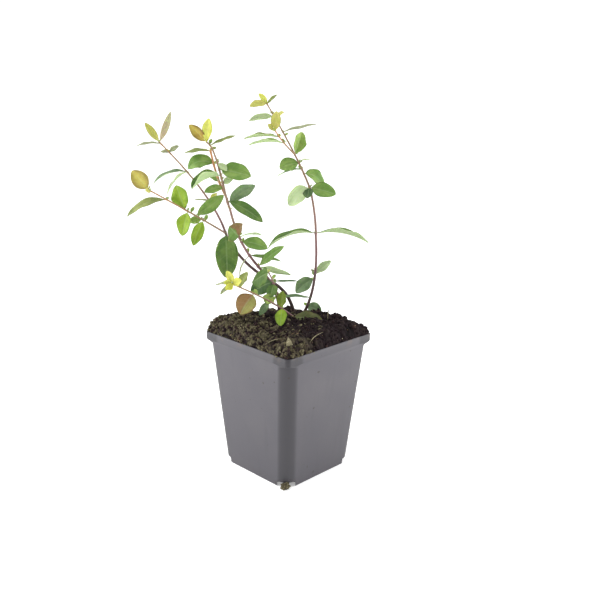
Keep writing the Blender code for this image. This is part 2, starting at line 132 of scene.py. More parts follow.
# The stage. The photo is so many pixels wide, and its axis meets it at MIDDLE_PIXEL.
FLOOR_REACH = 60
PICTURE = 600
FOCAL_PIXELS = 799
MIDDLE_PIXEL = (288.97, 288.09)
CAMERA_PLACE = (0, -577.4, 295.1)
CAMERA_PITCH = 15
CAMERA_ROLL = 0.79
SENSOR = 36
SUN_PLACE = (-300, -150, 700)
SUN_TARGET = (0, 0, 100)
SUN_SPREAD = 50
SIDE_LIGHT_PLACE = (750, 60, 330)
SIDE_LIGHT_TARGET = (0, 0, 120)
SIDE_LIGHT_SIZE = (0.5, 0.7)


def srgb(red, green, blue):
    """A colour as a photo gives it, from 0 to 255, as the linear values that a shader takes."""
    shares = (value / 255 for value in (red, green, blue))
    return tuple(s / 12.92 if s <= 0.04045 else ((s + 0.055) / 1.055) ** 2.4 for s in shares)


def shaded(colour, share):
    """A colour with only this share of its light."""
    return tuple(share * value for value in colour)


# Each leaf tint: the colours of the upper face, of patches on it and of the blade's edge, from 0 to 255.
TINTS = {
    "deep": ((82, 112, 54), (106, 132, 66), (56, 76, 40)),
    "dusk": ((74, 100, 62), (96, 118, 78), (54, 70, 48)),
    "green": ((104, 138, 64), (134, 160, 84), (72, 94, 46)),
    "fresh": ((126, 152, 72), (152, 172, 90), (92, 108, 54)),
    "lime": ((120, 150, 40), (146, 172, 56), (86, 110, 40)),
    "moss": ((120, 138, 50), (148, 160, 62), (84, 94, 42)),
    "peaty": ((86, 94, 54), (100, 96, 58), (72, 64, 44)),
    "yellow": ((196, 198, 76), (216, 216, 112), (160, 160, 66)),
    "straw": ((180, 178, 88), (204, 198, 112), (124, 108, 62)),
    "gold": ((208, 196, 102), (198, 184, 88), (116, 88, 54)),
    "bronze": ((150, 118, 78), (142, 146, 78), (112, 74, 50)),
    "russet": ((174, 156, 66), (160, 128, 56), (96, 80, 44)),
    "olive": ((118, 130, 68), (142, 150, 82), (86, 84, 50)),
    "mixed": ((96, 128, 60), (136, 92, 70), (96, 78, 50)),
    "sea": ((104, 128, 90), (126, 148, 106), (70, 86, 62)),
    "grey": ((142, 148, 112), (164, 168, 134), (98, 94, 76)),
    "pale": ((170, 188, 138), (186, 202, 158), (122, 144, 94)),
    "blush": ((186, 182, 140), (190, 168, 140), (146, 124, 102)),
}
# How far patches keep to one side and to the tip, and how far out the edge's colour begins.
PATTERNS = {
    "bronze": (-1.6, 0, 0.72),
    "mixed": (1.8, 0, 0.72),
    "gold": (0, 0, 0.1),
    "russet": (0, 0, 0.3),
}
PLAIN_PATTERN = (0, 0, 0.74)
UNDERSIDE = srgb(180, 198, 150)
UNDERSIDE_SHARE = 0.75


def drawn_in(points, along, left=1):
    """Points drawn together pair by pair, which gives a Bezier curve, until so many are left."""
    while len(points) > left:
        points = [a.lerp(b, along) for a, b in zip(points, points[1:])]
    return points


class Shoot:
    """One stem: where it starts, the points that bend it, where it ends, and its two diameters.

    It starts on the soil, at a place given as right and back, or from another stem, given as that
    stem's name and the share of the way along it. tones are its two colours, from its start to
    its tip: 0 is dark brown bark, 0.5 is red-brown and 1 is orange.
    """

    def __init__(self, start, points, thick, thin, tones):
        self.start = start
        self.on_soil = not isinstance(start[0], str)
        foot = (*start, 0) if self.on_soil else (0, 0, 0)
        self.points = [Vector(point) * MM for point in (foot, *points)]
        self.thick = thick * MM
        self.thin = thin * MM
        self.tones = tones

    def at(self, along):
        """The stem's point a share of the way along its smooth bend."""
        return drawn_in(self.points, along)[0]

    def heading(self, along):
        """The way the stem points there."""
        before, after = drawn_in(self.points, along, 2)
        return (after - before).normalized()

    def radius(self, along):
        return (self.thick + (self.thin - self.thick) * along) / 2


class Leaf:
    """One leaf: where it grows on its shoot, where it points, how its blade lies and its tint.

    turn is the compass angle it points to (0 right, 90 back, 180 left, 270 front) and rise its
    slope at the root. droop is how far it bends down towards its tip. face is how far the blade's
    upper side leans from straight up towards the front, and keel how far its two halves fold up.
    """

    def __init__(self, along, turn, rise, length, width, tint, face=20, droop=25, keel=18):
        self.along = along
        self.turn = turn
        self.rise = rise
        self.length = length * MM
        self.width = width * MM
        self.tint = tint
        self.face = face
        self.droop = droop
        self.keel = keel


# Bare canes, from the soil to where their leaves begin.
CANES = {
    "right_cane": Shoot((11.6, 26), [(23.3, 27, 134), (20.2, 30, 174.5)], 2.4, 1.9, (0.05, 0.55)),
    "left_cane": Shoot(
        (4.5, 25),
        [(-3.4, 24, 146.5), (-18.5, 25, 131.5), (-40.5, 27, 157.5), (-48.5, 29, 173)],
        2.8,
        2.1,
        (0, 0.35),
    ),
    "middle_cane": Shoot(
        (-7, 14), [(-7.7, 13.5, 134.5), (-14, 13, 142), (-21.5, 12.2, 151.3)], 2.6, 2.2, (0.1, 0.45)
    ),
}

# Leafy shoots. Each carries on from the tip of a stem, branches off its side or stands on the soil.
SHOOTS = {
    "right_pair": Shoot(("right_cane", 1), [(20, 31, 190), (15.6, 33, 208.8)], 1.9, 1.7, (0.55, 0.6)),
    "right_crown": Shoot(("right_pair", 1), [(7.5, 34, 231), (-18.6, 32, 274)], 1.7, 1.0, (0.6, 0.75)),
    "right_side_shoot": Shoot(
        ("right_crown", 0.5), [(-6.9, 27, 246.5), (-11.8, 23, 254.5)], 1.2, 0.9, (0.75, 0.95)
    ),
    "right_foot_shoot": Shoot((11.5, 32), [(19, 33, 124), (20.5, 34, 146)], 1.5, 1.1, (0.1, 0.4)),
    "left_crown": Shoot(("left_cane", 1), [(-57.5, 32, 203), (-100.5, 36, 244.5)], 2.0, 1.0, (0.35, 0.8)),
    "left_side_shoot": Shoot(
        ("left_crown", 0.04), [(-71, 14, 192.5), (-103.5, 0, 213)], 1.5, 1.0, (0.6, 0.9)
    ),
    "middle_leaves": Shoot(
        ("middle_cane", 1),
        [(-29.2, 11.5, 160.5), (-38.2, 10.5, 171), (-44.3, 9, 197.2)],
        2.1,
        1.8,
        (0.45, 0.6),
    ),
    "middle_crown": Shoot(
        ("middle_leaves", 1), [(-49, 8, 209), (-53.4, 7, 244), (-61, 6, 246.8)], 1.8, 1.1, (0.6, 0.7)
    ),
    "middle_side_shoot": Shoot(
        ("middle_crown", 0.2), [(-55, 12, 222), (-58.5, 9, 241)], 1.7, 1.5, (0.85, 0.95)
    ),
    "low_shoot": Shoot((4.6, 5), [(-7.6, -3, 129.5), (-42, -18, 148)], 1.6, 1.0, (0.45, 0.8)),
    "low_tuft": Shoot((-3.8, 11), [(-8, 5, 137), (-15.5, -1, 153)], 1.6, 1.0, (0.3, 0.6)),
}

# The leaves of each shoot: along, turn, rise, length, width and tint, then face, droop and keel
# where they aren't 20, 25 and 18.
LEAF_ROWS = {
    "right_pair": [
        (0.06, 183, 14, 40.5, 12, "deep", 3, 54, 42),
        (0.06, 3, 14, 44, 13, "deep", -6, 42, 45),
    ],
    "right_crown": [
        (0.05, 335, -5, 21, 13, "green", 64, 12),
        (0.05, 254, -38, 9.5, 9, "dusk", 0),
        (0.06, 205, -26, 22, 15, "pale", -80, 20),
        (0.26, 12, 14, 20, 12, "green", 56, 80),
        (0.32, 172, 2, 22, 7, "deep", 16, 34),
        (0.39, 195, 10, 16, 13, "green", 52, 40),
        (0.42, 15, 20, 10, 4, "grey", -20),
        (0.50, 48, 62, 19, 13, "fresh", 66, 5, 34),
        (0.74, 12, 18, 26, 6, "grey", 20, 8),
        (0.88, 182, 12, 20, 6, "grey", -62, 36),
        (0.88, 350, 30, 9, 5, "straw", 45, 10),
        (0.99, 185, 20, 14, 6.5, "straw", 55, 45),
        (0.99, 150, 62, 10.5, 4.5, "yellow", 60),
        (0.99, 10, 58, 10.5, 3.6, "olive", 50),
    ],
    "right_side_shoot": [
        (0.42, 178, 14, 27, 9, "fresh", 3, 30, 42),
        (0.70, 186, 12, 27, 9, "olive", 3, 26, 42),
        (0.97, 85, 84, 15.5, 8, "straw", 0),
        (0.97, 165, 55, 8, 5, "straw", 60),
    ],
    "right_foot_shoot": [
        (0.20, 338, 2, 14, 10.5, "sea", 62, 20),
        (0.84, 186, -19, 19, 12, "sea", 66, 35),
        (0.93, 12, 46, 17, 7.5, "sea", -72, 6),
        (0.94, 165, 60, 5, 3, "grey", 40),
    ],
    "left_crown": [
        (0.04, 276, -36, 36.5, 18.5, "deep", 0, 54),
        (0.40, 15, 70, 9, 5, "straw", 50),
        (0.42, 178, 6, 13, 4, "grey", 14, 10),
        (0.72, 172, 12, 29, 7.5, "sea", 14, 54, 30),
        (0.72, 225, -8, 27, 8, "grey", -36, 45, 30),
        (0.90, 30, 48, 9, 4.5, "grey", 50),
        (0.90, 175, 18, 8, 4, "grey", 45),
        (0.99, 165, 52, 19, 6, "straw", 66, 5),
        (0.99, 15, 62, 25, 5.5, "blush", 66, -8),
        (0.98, 190, 13, 19, 4.5, "grey", 24, 30),
    ],
    "left_side_shoot": [
        (0.44, 5, 26, 26.5, 10.5, "green", 64, -14),
        (0.34, 195, 8, 10, 7, "fresh", 62, 35),
        (0.32, 215, -50, 21, 10, "lime", 72, 20),
        (0.58, 175, 72, 19, 14.5, "lime", 82, 5),
        (0.54, 225, -66, 19, 13, "lime", 20, 12),
        (0.79, 190, 9, 34, 8, "olive", 40, 54),
        (0.99, 184, 52, 18, 13, "gold", 80, 5, 20),
        (0.97, 240, 20, 7, 5, "straw", 60, 20),
    ],
    "middle_leaves": [
        (0.08, 352, 47, 28, 9, "green", 62, 12),
        (0.07, 345, -9, 26, 7, "pale", -60, 3),
        (0.36, 20, -4, 25, 6, "deep", 30, 14),
        (0.36, 198, -30, 20, 1.6, "grey", 30, 60),
        (0.68, 235, 45, 15, 17.5, "mixed", 100, 6),
        (0.61, 340, 12, 22, 10.5, "green", 56, 35),
        (0.68, 30, 18, 24, 4, "pale", -40, 36),
    ],
    "middle_crown": [
        (0.15, 340, -14, 31, 10, "deep", 54, 24),
        (0.12, 25, 27, 28, 12, "sea", 44, 6, 30),
        (0.31, 195, 10, 15, 7, "green", 56, 36),
        (0.36, 350, 45, 9, 6, "pale", 50),
        (0.46, 200, 8, 26, 17, "deep", -6, 46, 60),
        (0.53, 350, -5, 24, 15.5, "green", 56, 10, 25),
        (0.60, 345, -20, 9, 6, "pale", 40),
        (0.88, 18, 27, 20, 5.5, "olive", 22, 10),
        (0.99, 172, 43, 19, 8.5, "russet", 78, 8),
        (0.99, 75, 85, 18, 8, "yellow", 0),
    ],
    "middle_side_shoot": [
        (0.25, 150, 40, 12, 6, "green", 30),
        (0.70, 190, 42, 22, 12, "green", 54, 88),
        (0.98, 174, 8, 21, 6, "olive", 22, 24),
        (0.98, 70, 30, 9, 4, "olive", 20),
    ],
    "low_shoot": [
        (0.06, 338, 0, 24, 12, "peaty", 44, 12),
        (0.31, 266, -11, 20, 9.5, "lime", 0, 24),
        (0.33, 62, 80, 13, 8.5, "moss", 0, 6),
        (0.47, 190, 52, 10, 8.5, "fresh", 72),
        (0.52, 205, -34, 13, 6, "sea", 60),
        (0.74, 232, -31, 19, 16.5, "bronze", 34, 24),
        (0.90, 60, 70, 13, 8, "olive", 0),
        (0.98, 350, 42, 8.5, 7, "yellow", 75),
        (0.97, 215, 4, 9, 6, "yellow", 70),
        (0.98, 140, 72, 11, 6, "yellow", 66),
        (0.98, 190, 34, 8, 5, "yellow", 66),
        (0.99, 172, 4, 15, 4.5, "grey", 20),
        (0.99, 212, -18, 12, 4, "grey", 20),
    ],
    "low_tuft": [
        (0.42, 24, -4, 27, 7, "dusk", 8, 4),
        (0.76, 352, 4, 19, 3, "dusk", 20, 4),
        (0.74, 165, -10, 19, 13, "dusk", 68, 30),
        (0.98, 222, -2, 20, 18, "deep", 98, 15),
        (0.70, 255, -30, 12, 10, "deep", 0),
    ],
}
LEAVES = {name: [Leaf(*row) for row in rows] for name, rows in LEAF_ROWS.items()}

FLAKE = {"foot": (3.6, -55.5, 107.4), "tip": (-0.2, -53.5, 119.5), "width": 4.8}
STICKS = [
    ((30, 4, 114), (31, 3, 125), 0.9),
    ((15.4, -44, 112.5), (25, -33, 117), 0.5),
    ((-16, -47, 112), (-5, -46, 116), 0.45),
]
CLUMP_PLACE = (-0.6, -47, 2.2)
CLUMP_SIZE = (3.3, 3, 2.6)


class Wire:
    """A node's socket that can stand in a sum: each operator adds the Math node that it needs."""

    def __init__(self, owner, socket):
        self.owner = owner
        self.socket = socket

    def maths(self, operation, *values):
        return self.owner.node("ShaderNodeMath", {"operation": operation}, dict(enumerate(values)))

    def __add__(self, other):
        return self.maths("ADD", self, other)

    __radd__ = __add__

    def __sub__(self, other):
        return self.maths("SUBTRACT", self, other)

    def __rsub__(self, other):
        return self.maths("SUBTRACT", other, self)

    def __mul__(self, other):
        return self.maths("MULTIPLY", self, other)

    __rmul__ = __mul__

    def __abs__(self):
        return self.maths("ABSOLUTE", self)

    def least(self, other):
        return self.maths("MINIMUM", self, other)

    def largest(self, other):
        return self.maths("MAXIMUM", self, other)

    def fraction(self):
        return self.maths("FRACT", self)


class Nodes:
    """A node tree that is being put together."""

    def __init__(self, tree):
        self.tree = tree

    def node(self, kind, settings=None, sockets=None, output=0):
        """Add a node: first its settings, then the values or links of its sockets."""
        made = self.tree.nodes.new(kind)
        for name, value in (settings or {}).items():
            if name == "stops":
                self.fill_ramp(made.color_ramp, value)
            else:
                setattr(made, name, value)
        for name, value in (sockets or {}).items():
            self.feed(made.inputs[name], value)
        return Wire(self, made.outputs[output])

    def fill_ramp(self, ramp, stops):
        while len(ramp.elements) < len(stops):
            ramp.elements.new(1)
        for element, (position, colour) in zip(ramp.elements, stops):
            element.position = position
            element.color = (*colour, 1)

    def feed(self, socket, value):
        if isinstance(value, Wire):
            self.tree.links.new(value.socket, socket)
        elif socket.type == "RGBA":
            socket.default_value = (*value, 1)
        else:
            socket.default_value = value

    def split(self, vector):
        """The X, Y and Z of a vector."""
        made = self.node("ShaderNodeSeparateXYZ", None, {"Vector": vector}).socket.node
        return [Wire(self, made.outputs[axis]) for axis in "XYZ"]

    def scaled(self, vector, amount):
        sockets = {0: vector, "Scale": amount}
        return self.node("ShaderNodeVectorMath", {"operation": "SCALE"}, sockets)

    def step(self, value, low, high, start=0.0, end=1.0):
        """The start value up to low, the end value from high on, and smooth between them."""
        sockets = {"Value": value, "From Min": low, "From Max": high, "To Min": start, "To Max": end}
        return self.node("ShaderNodeMapRange", {"interpolation_type": "SMOOTHSTEP"}, sockets)


class Finish(Nodes):
    """A material: one Principled shader, and the nodes for what varies over the surface."""

    def __init__(self, name, constants):
        self.material = bpy.data.materials.new(name)
        self.material.use_nodes = True
        super().__init__(self.material.node_tree)
        self.shader = self.tree.nodes["Principled BSDF"]
        for label, value in constants.items():
            self.shader.inputs[label].default_value = value

    def place(self, stretch=(1, 1, 1)):
        """Where a point is, in the object's own coordinates."""
        where = self.node("ShaderNodeTexCoord", output="Object")
        return self.node("ShaderNodeMapping", None, {"Vector": where, "Scale": stretch})

    def grain(self, scale, detail=3.0, stretch=(1, 1, 1)):
        """Noise around a half, with so many grains to the metre."""
        sockets = {"Vector": self.place(stretch), "Scale": scale, "Detail": detail}
        return self.node("ShaderNodeTexNoise", None, sockets)

    def mix(self, share, first, second):
        sockets = {0: share, 6: first, 7: second}
        return self.node("ShaderNodeMix", {"data_type": "RGBA"}, sockets, output=2)

    def ramp(self, share, stops):
        return self.node("ShaderNodeValToRGB", {"stops": stops}, {"Fac": share})

    def paint(self, colour, roughness=None, height=None, depth=0.1 * MM):
        """Connect what was made to the shader."""
        self.feed(self.shader.inputs["Base Color"], colour)
        if roughness is not None:
            self.feed(self.shader.inputs["Roughness"], roughness)
        if height is not None:
            bump = self.node("ShaderNodeBump", None, {"Distance": depth, "Height": height})
            self.feed(self.shader.inputs["Normal"], bump)
        return self.material


class Recipe(Nodes):
    """A Geometry Nodes tree, run on a mesh and turned into a plain one.

    numbers and counts name its inputs, and it has one more for the finish.
    """

    def __init__(self, name, numbers, counts):
        super().__init__(bpy.data.node_groups.new(name, "GeometryNodeTree"))
        face = self.tree.interface
        face.new_socket("Geometry", in_out="INPUT", socket_type="NodeSocketGeometry")
        kinds = {**dict.fromkeys(numbers, "Float"), **dict.fromkeys(counts, "Int"), "Finish": "Material"}
        self.identifiers = {}
        for label, kind in kinds.items():
            socket = face.new_socket(label, in_out="INPUT", socket_type="NodeSocket" + kind)
            self.identifiers[label] = socket.identifier
        face.new_socket("Geometry", in_out="OUTPUT", socket_type="NodeSocketGeometry")
        self.start = self.tree.nodes.new("NodeGroupInput")
        self.end = self.tree.nodes.new("NodeGroupOutput")

    def given(self, label):
        return Wire(self, self.start.outputs[label])

    def random(self, low, high, seed):
        """A random value for each point: a vector where low is one, and else a number."""
        vector = isinstance(low, tuple)
        made = self.tree.nodes.new("FunctionNodeRandomValue")
        made.data_type = "FLOAT_VECTOR" if vector else "FLOAT"
        sockets = {socket.identifier: socket for socket in made.inputs}
        names = ("Min", "Max", "Seed") if vector else ("Min_001", "Max_001", "Seed")
        for name, value in zip(names, (low, high, seed)):
            self.feed(sockets[name], value)
        return Wire(self, made.outputs[0 if vector else 1])

    def scatter(self, item, density, scale, turn):
        """Set an item on random points of the surface, with this scale and these turns."""
        sockets = {"Mesh": self.given("Geometry"), "Density": density, "Seed": self.given("Seed")}
        points = self.node("GeometryNodeDistributePointsOnFaces", None, sockets, output="Points")
        turn = self.node("FunctionNodeEulerToRotation", None, {"Euler": turn})
        sockets = {"Points": points, "Instance": item, "Rotation": turn, "Scale": scale}
        return self.node("GeometryNodeInstanceOnPoints", None, sockets)

    def close(self, geometry):
        """End the tree: make the instances real, and give them their finish."""
        real = self.node("GeometryNodeRealizeInstances", None, {"Geometry": geometry})
        sockets = {"Geometry": real, "Material": self.given("Finish")}
        dressed = self.node("GeometryNodeSetMaterial", None, sockets)
        self.feed(self.end.inputs["Geometry"], dressed)
        return self

    def run(self, name, mesh, values):
        carrier = link_object(name, mesh)
        modifier = carrier.modifiers.new(name, "NODES")
        modifier.node_group = self.tree
        for label, value in values.items():
            modifier[self.identifiers[label]] = value
        return made_plain(carrier)


def made_plain(piece):
    """Turn what a piece's modifiers make into its own mesh."""
    bpy.context.view_layer.update()
    evaluated = piece.evaluated_get(bpy.context.evaluated_depsgraph_get())
    plain = bpy.data.meshes.new_from_object(evaluated)
    piece.modifiers.clear()
    piece.data = plain
    if not plain.polygons:
        raise RuntimeError(piece.name + " came out empty")
    return piece


def link_object(name, mesh):
    made = bpy.data.objects.new(name, mesh)
    bpy.context.scene.collection.objects.link(made)
    return made


def object_from(bm, name, finishes, crease=None):
    """An object from a bmesh, with its finishes in the order of its slots.

    With a crease, its faces are turned outwards and shaded smooth up to so many degrees.
    """
    if crease:
        bmesh.ops.recalc_face_normals(bm, faces=bm.faces)
    mesh = bpy.data.meshes.new(name)
    bm.to_mesh(mesh)
    bm.free()
    for finish in finishes:
        mesh.materials.append(finish)
    made = link_object(name, mesh)
    if crease:
        soften(made, crease)
    return made


def belongs(piece, slot, *nodes):
    """Make a finished piece part of the shrub, in the place of the solids that it stands for."""
    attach(piece, BODY)
    if nodes:
        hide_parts(*nodes)
    return piece


def soften(piece, degrees):
    piece.data.shade_smooth()
    piece.data.set_sharp_from_angle(angle=math.radians(degrees))


def in_plant(point):
    """A place of the plant's frame, given in millimetres, as one in the world."""
    return PLANT_TURN @ (Vector(point) * MM)


def pot_plastic(settings):
    """Matt grey plastic with a faint violet cast, a little dust, fine scuffs and stray specks, with
    painted shade towards the foot, on the lip and on the rounded corners.
    """
    finish = Finish("pot_plastic", {"Specular IOR Level": 0.4})
    across, along, height = finish.split(finish.place())
    taper = (WALL_TOP_HALF - WALL_FOOT_HALF) / LEDGE
    ledge = finish.step(height, LEDGE - 0.5 * MM, LEDGE + 0.5 * MM)
    inward = abs(across).least(abs(along)) - height * taper + ledge * 5 * MM
    flat = WALL_FOOT_HALF - WALL_CORNER
    bend = finish.step(inward, flat - 0.5 * MM, flat + 3.5 * MM)
    cloud = finish.grain(28, 4)
    streak = finish.grain(160, 2, (1, 1, 0.06))
    fine = finish.grain(2600, 2)
    base = tuple(settings.colour)
    dusty = tuple(0.8 * c + 0.2 * d for c, d in zip(base, srgb(150, 144, 140)))
    dark = shaded(base, 0.78)
    colour = finish.mix(finish.step(cloud, 0.35, 0.7) * 0.35, base, dusty)
    # Painted shade: the wall darkens towards its foot and the lip band is darkened. The streaks are the
    # plastic's own marks.
    foot = 1 - finish.step(height, 0, LEDGE)
    colour = finish.mix(foot * 0.6 + finish.step(streak, 0.52, 0.75) * 0.2 + ledge * 0.35, colour, dark)
    # Painted shade on the rounded corners, and stronger on the lip above them, where less light falls.
    painted_corner_shade = bend * settings.painted_corner_shade + bend * ledge * 0.15
    colour = finish.mix(painted_corner_shade, colour, shaded(base, 0.45))
    speck = finish.step(finish.grain(240, 1), 0.755, 0.775)
    colour = finish.mix(speck * settings.wear, colour, srgb(58, 52, 50))
    brim = finish.step(height, LEDGE, POT_HEIGHT)
    soiled = brim * finish.step(finish.grain(150, 3), 0.5, 0.7) * 0.4
    colour = finish.mix(soiled, colour, srgb(96, 82, 74))
    rough = 0.42 + 0.16 * cloud + 0.05 * fine
    return finish.paint(colour, rough, streak * 0.3 + fine * 0.7, 0.03 * MM)


def earth(name, colours, moss=0.0, relief=0.25, clods=False):
    """Moist peat: violet-dark with lighter grains, and a dull green growth where there is moss. With
    clods, a painted highlight lightens their raised tops and painted shade darkens the gaps between them.
    """
    finish = Finish(name, {"Specular IOR Level": 0.15})
    dark, light = colours
    grain = finish.grain(900, 5)
    cloud = finish.grain(120, 4)
    colour = finish.mix(finish.step(grain, 0.45, 0.7), dark, light)
    colour = finish.mix(finish.step(cloud, 0.48, 0.7) * 0.6, colour, shaded(dark, 0.4))
    if moss or clods:
        left = 1 - finish.step(finish.split(finish.place())[0], -38 * MM, -6 * MM)
    if moss:
        green = left * finish.step(finish.grain(300, 4), 0.48, 0.64) * moss
        colour = finish.mix(green, colour, srgb(96, 92, 64))
    if clods:
        raised = finish.node("ShaderNodeAttribute", {"attribute_name": "raised"}, output="Fac")
        # Painted highlight on the raised tops of the clods, olive-beige and mostly on the mossy left.
        top = finish.step(raised, 0.55, 0.95) * (0.06 + 0.5 * left)
        colour = finish.mix(top, colour, srgb(98, 90, 70))
        # Painted shade in the gaps between the clods.
        gap = 0.9 - 0.9 * finish.step(raised, 0.25, 0.6)
        colour = finish.mix(gap, colour, shaded(dark, 0.3))
    return finish.paint(colour, 0.78 + 0.2 * grain, grain, relief * MM)


def bark(settings):
    """Thin bark: brown at the foot, red-brown and orange higher up, with fine lengthwise streaks."""
    finish = Finish("bark", {"Specular IOR Level": 0.4})
    tone = finish.node("ShaderNodeAttribute", {"attribute_name": "tone"}, output="Fac")
    stops = [
        (0.0, srgb(54, 39, 39)),
        (0.3, srgb(84, 60, 60)),
        (0.52, srgb(130, 94, 96)),
        (0.68, srgb(136, 112, 84)),
        (0.82, srgb(158, 122, 86)),
        (1.0, srgb(190, 132, 84)),
    ]
    streak = finish.grain(900, 3, (1, 1, 0.15))
    colour = finish.ramp(tone + (streak - 0.5) * 0.3, stops)
    spot = finish.step(finish.grain(1300, 2), 0.62, 0.72)
    colour = finish.mix(spot * 0.4, colour, srgb(190, 160, 130))
    return finish.paint(colour, 0.42 + 0.25 * streak, streak, settings.relief)


def leaf_skin(name, colours, pattern, settings):
    """Satin leaf skin. Its midrib and side veins follow the blade, and its edge has its own tint."""
    face, patch, edge = colours
    to_side, to_tip, edge_start = pattern
    constants = {
        "Specular IOR Level": 0.22,
        "Subsurface Weight": settings.glow,
        "Subsurface Radius": (0.6, 1.0, 0.25),
        "Subsurface Scale": 0.8 * MM,
    }
    finish = Finish(name, constants)
    across, along, _ = finish.split(finish.node("ShaderNodeUVMap", {"uv_map": "blade"}))
    aside = abs(across * 2 - 1)
    rib = 1 - finish.step(aside, 0.02, 0.12)
    phase = ((along - aside * 0.16) * settings.vein_pairs).fraction()
    vein = finish.step(abs(phase - 0.5) * 2, 0.8, 1) * (1 - finish.step(aside, 0.7, 0.95))
    mottle = finish.grain(320, 4)
    sockets = {"X": across * 11, "Y": along * 1.4, "Z": finish.grain(18, 1) * 8}
    lines = finish.node("ShaderNodeCombineXYZ", None, sockets)
    streak = finish.node("ShaderNodeTexNoise", None, {"Vector": lines, "Scale": 1.0, "Detail": 3.0})
    deeper = shaded(face, 0.72)
    lighter = tuple(min(1, 0.55 * c + 0.45 * u) for c, u in zip(face, UNDERSIDE))
    patches = finish.grain(90, 2) + (across - 0.5) * to_side + (along - 0.5) * to_tip
    colour = finish.mix(finish.step(patches, 0.42, 0.6) * 0.85, face, patch)
    colour = finish.mix(finish.step(mottle, 0.45, 0.72) * 0.3, colour, deeper)
    colour = finish.mix(finish.step(streak, 0.46, 0.66) * 0.4, colour, deeper)
    colour = finish.mix(finish.step(aside, edge_start, 1) * 0.75, colour, edge)
    colour = finish.mix(rib * 0.4 + vein * 0.16, colour, lighter)
    rough = settings.roughness + 0.15 * mottle
    return finish.paint(colour, rough, mottle * 0.3 - rib * 0.5 - vein * 0.35, 0.12 * MM)


def square_ring(half, corner, height):
    """A square with round corners, as points that run anticlockwise at one height."""
    points = []
    for quarter in range(4):
        middle = math.pi / 4 + quarter * math.pi / 2
        for step in range(CORNER_STEPS + 1):
            angle = middle + (step / CORNER_STEPS - 0.5) * math.pi / 2
            across = math.copysign(half - corner, math.cos(middle)) + corner * math.cos(angle)
            along = math.copysign(half - corner, math.sin(middle)) + corner * math.sin(angle)
            points.append(Vector((across, along, height)))
    return points


def loft(bm, rings):
    """Skin a row of rings with equal counts, and close the first and the last."""
    loops = [[bm.verts.new(p) for p in ring] for ring in rings]
    for lower, upper in zip(loops, loops[1:]):
        count = len(lower)
        for i in range(count):
            j = (i + 1) % count
            bm.faces.new((lower[i], lower[j], upper[j], upper[i]))
    bm.faces.new(reversed(loops[0]))
    bm.faces.new(loops[-1])


def wall_half(height):
    share = height / LEDGE
    return WALL_FOOT_HALF + (WALL_TOP_HALF - WALL_FOOT_HALF) * share


def corner_boxes(near, far, width, low, high):
    """A box at each corner, along the diagonal from near to far, for a Boolean."""
    bm = bmesh.new()
    middle = Matrix.Translation(((near + far) / 2, 0, (low + high) / 2))
    size = Matrix.Diagonal((far - near, width, high - low, 1))
    for quarter in range(4):
        turn = Matrix.Rotation(math.pi / 4 + quarter * math.pi / 2, 4, "Z")
        bmesh.ops.create_cube(bm, size=1, matrix=turn @ middle @ size)
    return bm


def combine(made, boxes, operation):
    """Add the boxes to an object, or cut them from it."""
    helper = object_from(boxes, made.name + "_boxes", [made.data.materials[0]])
    step = made.modifiers.new("boxes", "BOOLEAN")
    step.operation = operation
    step.object = helper
    made_plain(made)
    bpy.data.objects.remove(helper)


def pot_shell(settings):
    """The pot with softened edges: a tapered square shell, a lip, and a drain housing at each foot."""
    soft = settings.edge
    inner = WALL_THICKNESS
    sizes = [
        (WALL_FOOT_HALF - soft, WALL_CORNER - soft, 0),
        (WALL_FOOT_HALF, WALL_CORNER, soft),
        (WALL_TOP_HALF, WALL_CORNER, LEDGE),
        (RIM_HALF - soft, RIM_CORNER - soft, LEDGE),
        (RIM_HALF, RIM_CORNER, LEDGE + soft),
        (RIM_HALF, RIM_CORNER, POT_HEIGHT - soft),
        (RIM_HALF - 0.3 * soft, RIM_CORNER - 0.3 * soft, POT_HEIGHT - 0.3 * soft),
        (RIM_HALF - soft, RIM_CORNER - soft, POT_HEIGHT),
        (RIM_HALF - inner + 0.3 * soft, RIM_CORNER - inner + 0.3 * soft, POT_HEIGHT),
        (RIM_HALF - inner, RIM_CORNER - inner, POT_HEIGHT - 0.5 * soft),
        (RIM_HALF - inner, RIM_CORNER - inner, LEDGE + inner),
        (WALL_TOP_HALF - inner, WALL_CORNER - inner, LEDGE),
        (wall_half(FLOOR_THICKNESS) - inner, WALL_CORNER - inner, FLOOR_THICKNESS),
    ]
    rings = [square_ring(*size) for size in sizes]
    # Along the flat sides, away from the corners, the wall bends out to meet the lip.
    for i, (below, above) in enumerate(zip(rings[2], rings[3])):
        from_corner = abs(2 * (i % (CORNER_STEPS + 1)) / CORNER_STEPS - 1)
        below.z -= settings.sweep * from_corner**2
        above.xy *= 1 + 0.7 * soft / RIM_HALF * from_corner**2
    bm = bmesh.new()
    loft(bm, rings)
    bmesh.ops.recalc_face_normals(bm, faces=bm.faces)
    shell = object_from(bm, "pot_shell", [pot_plastic(settings)])
    top = NOTCH_HEIGHT + WALL_THICKNESS
    width = NOTCH_WIDTH + 2 * WALL_THICKNESS
    near = NOTCH_REACH - WALL_THICKNESS
    combine(shell, corner_boxes(near, HOUSING_REACH, width, FLOOR_THICKNESS / 2, top), "UNION")
    combine(shell, corner_boxes(NOTCH_REACH, 2 * RIM_HALF, NOTCH_WIDTH, -top, NOTCH_HEIGHT), "DIFFERENCE")
    soften(shell, 35)
    return shell


def lump(x, y):
    """A gentle unevenness from a few crossing waves, between about -1 and 1."""
    u = x / LUMP_SIZE
    v = y / LUMP_SIZE
    one_way = math.sin(2.3 * u + 1.7 * math.sin(1.1 * v))
    other_way = math.sin(2.7 * v + 1.3 * math.sin(1.4 * u + 2))
    return (one_way + other_way) / 2


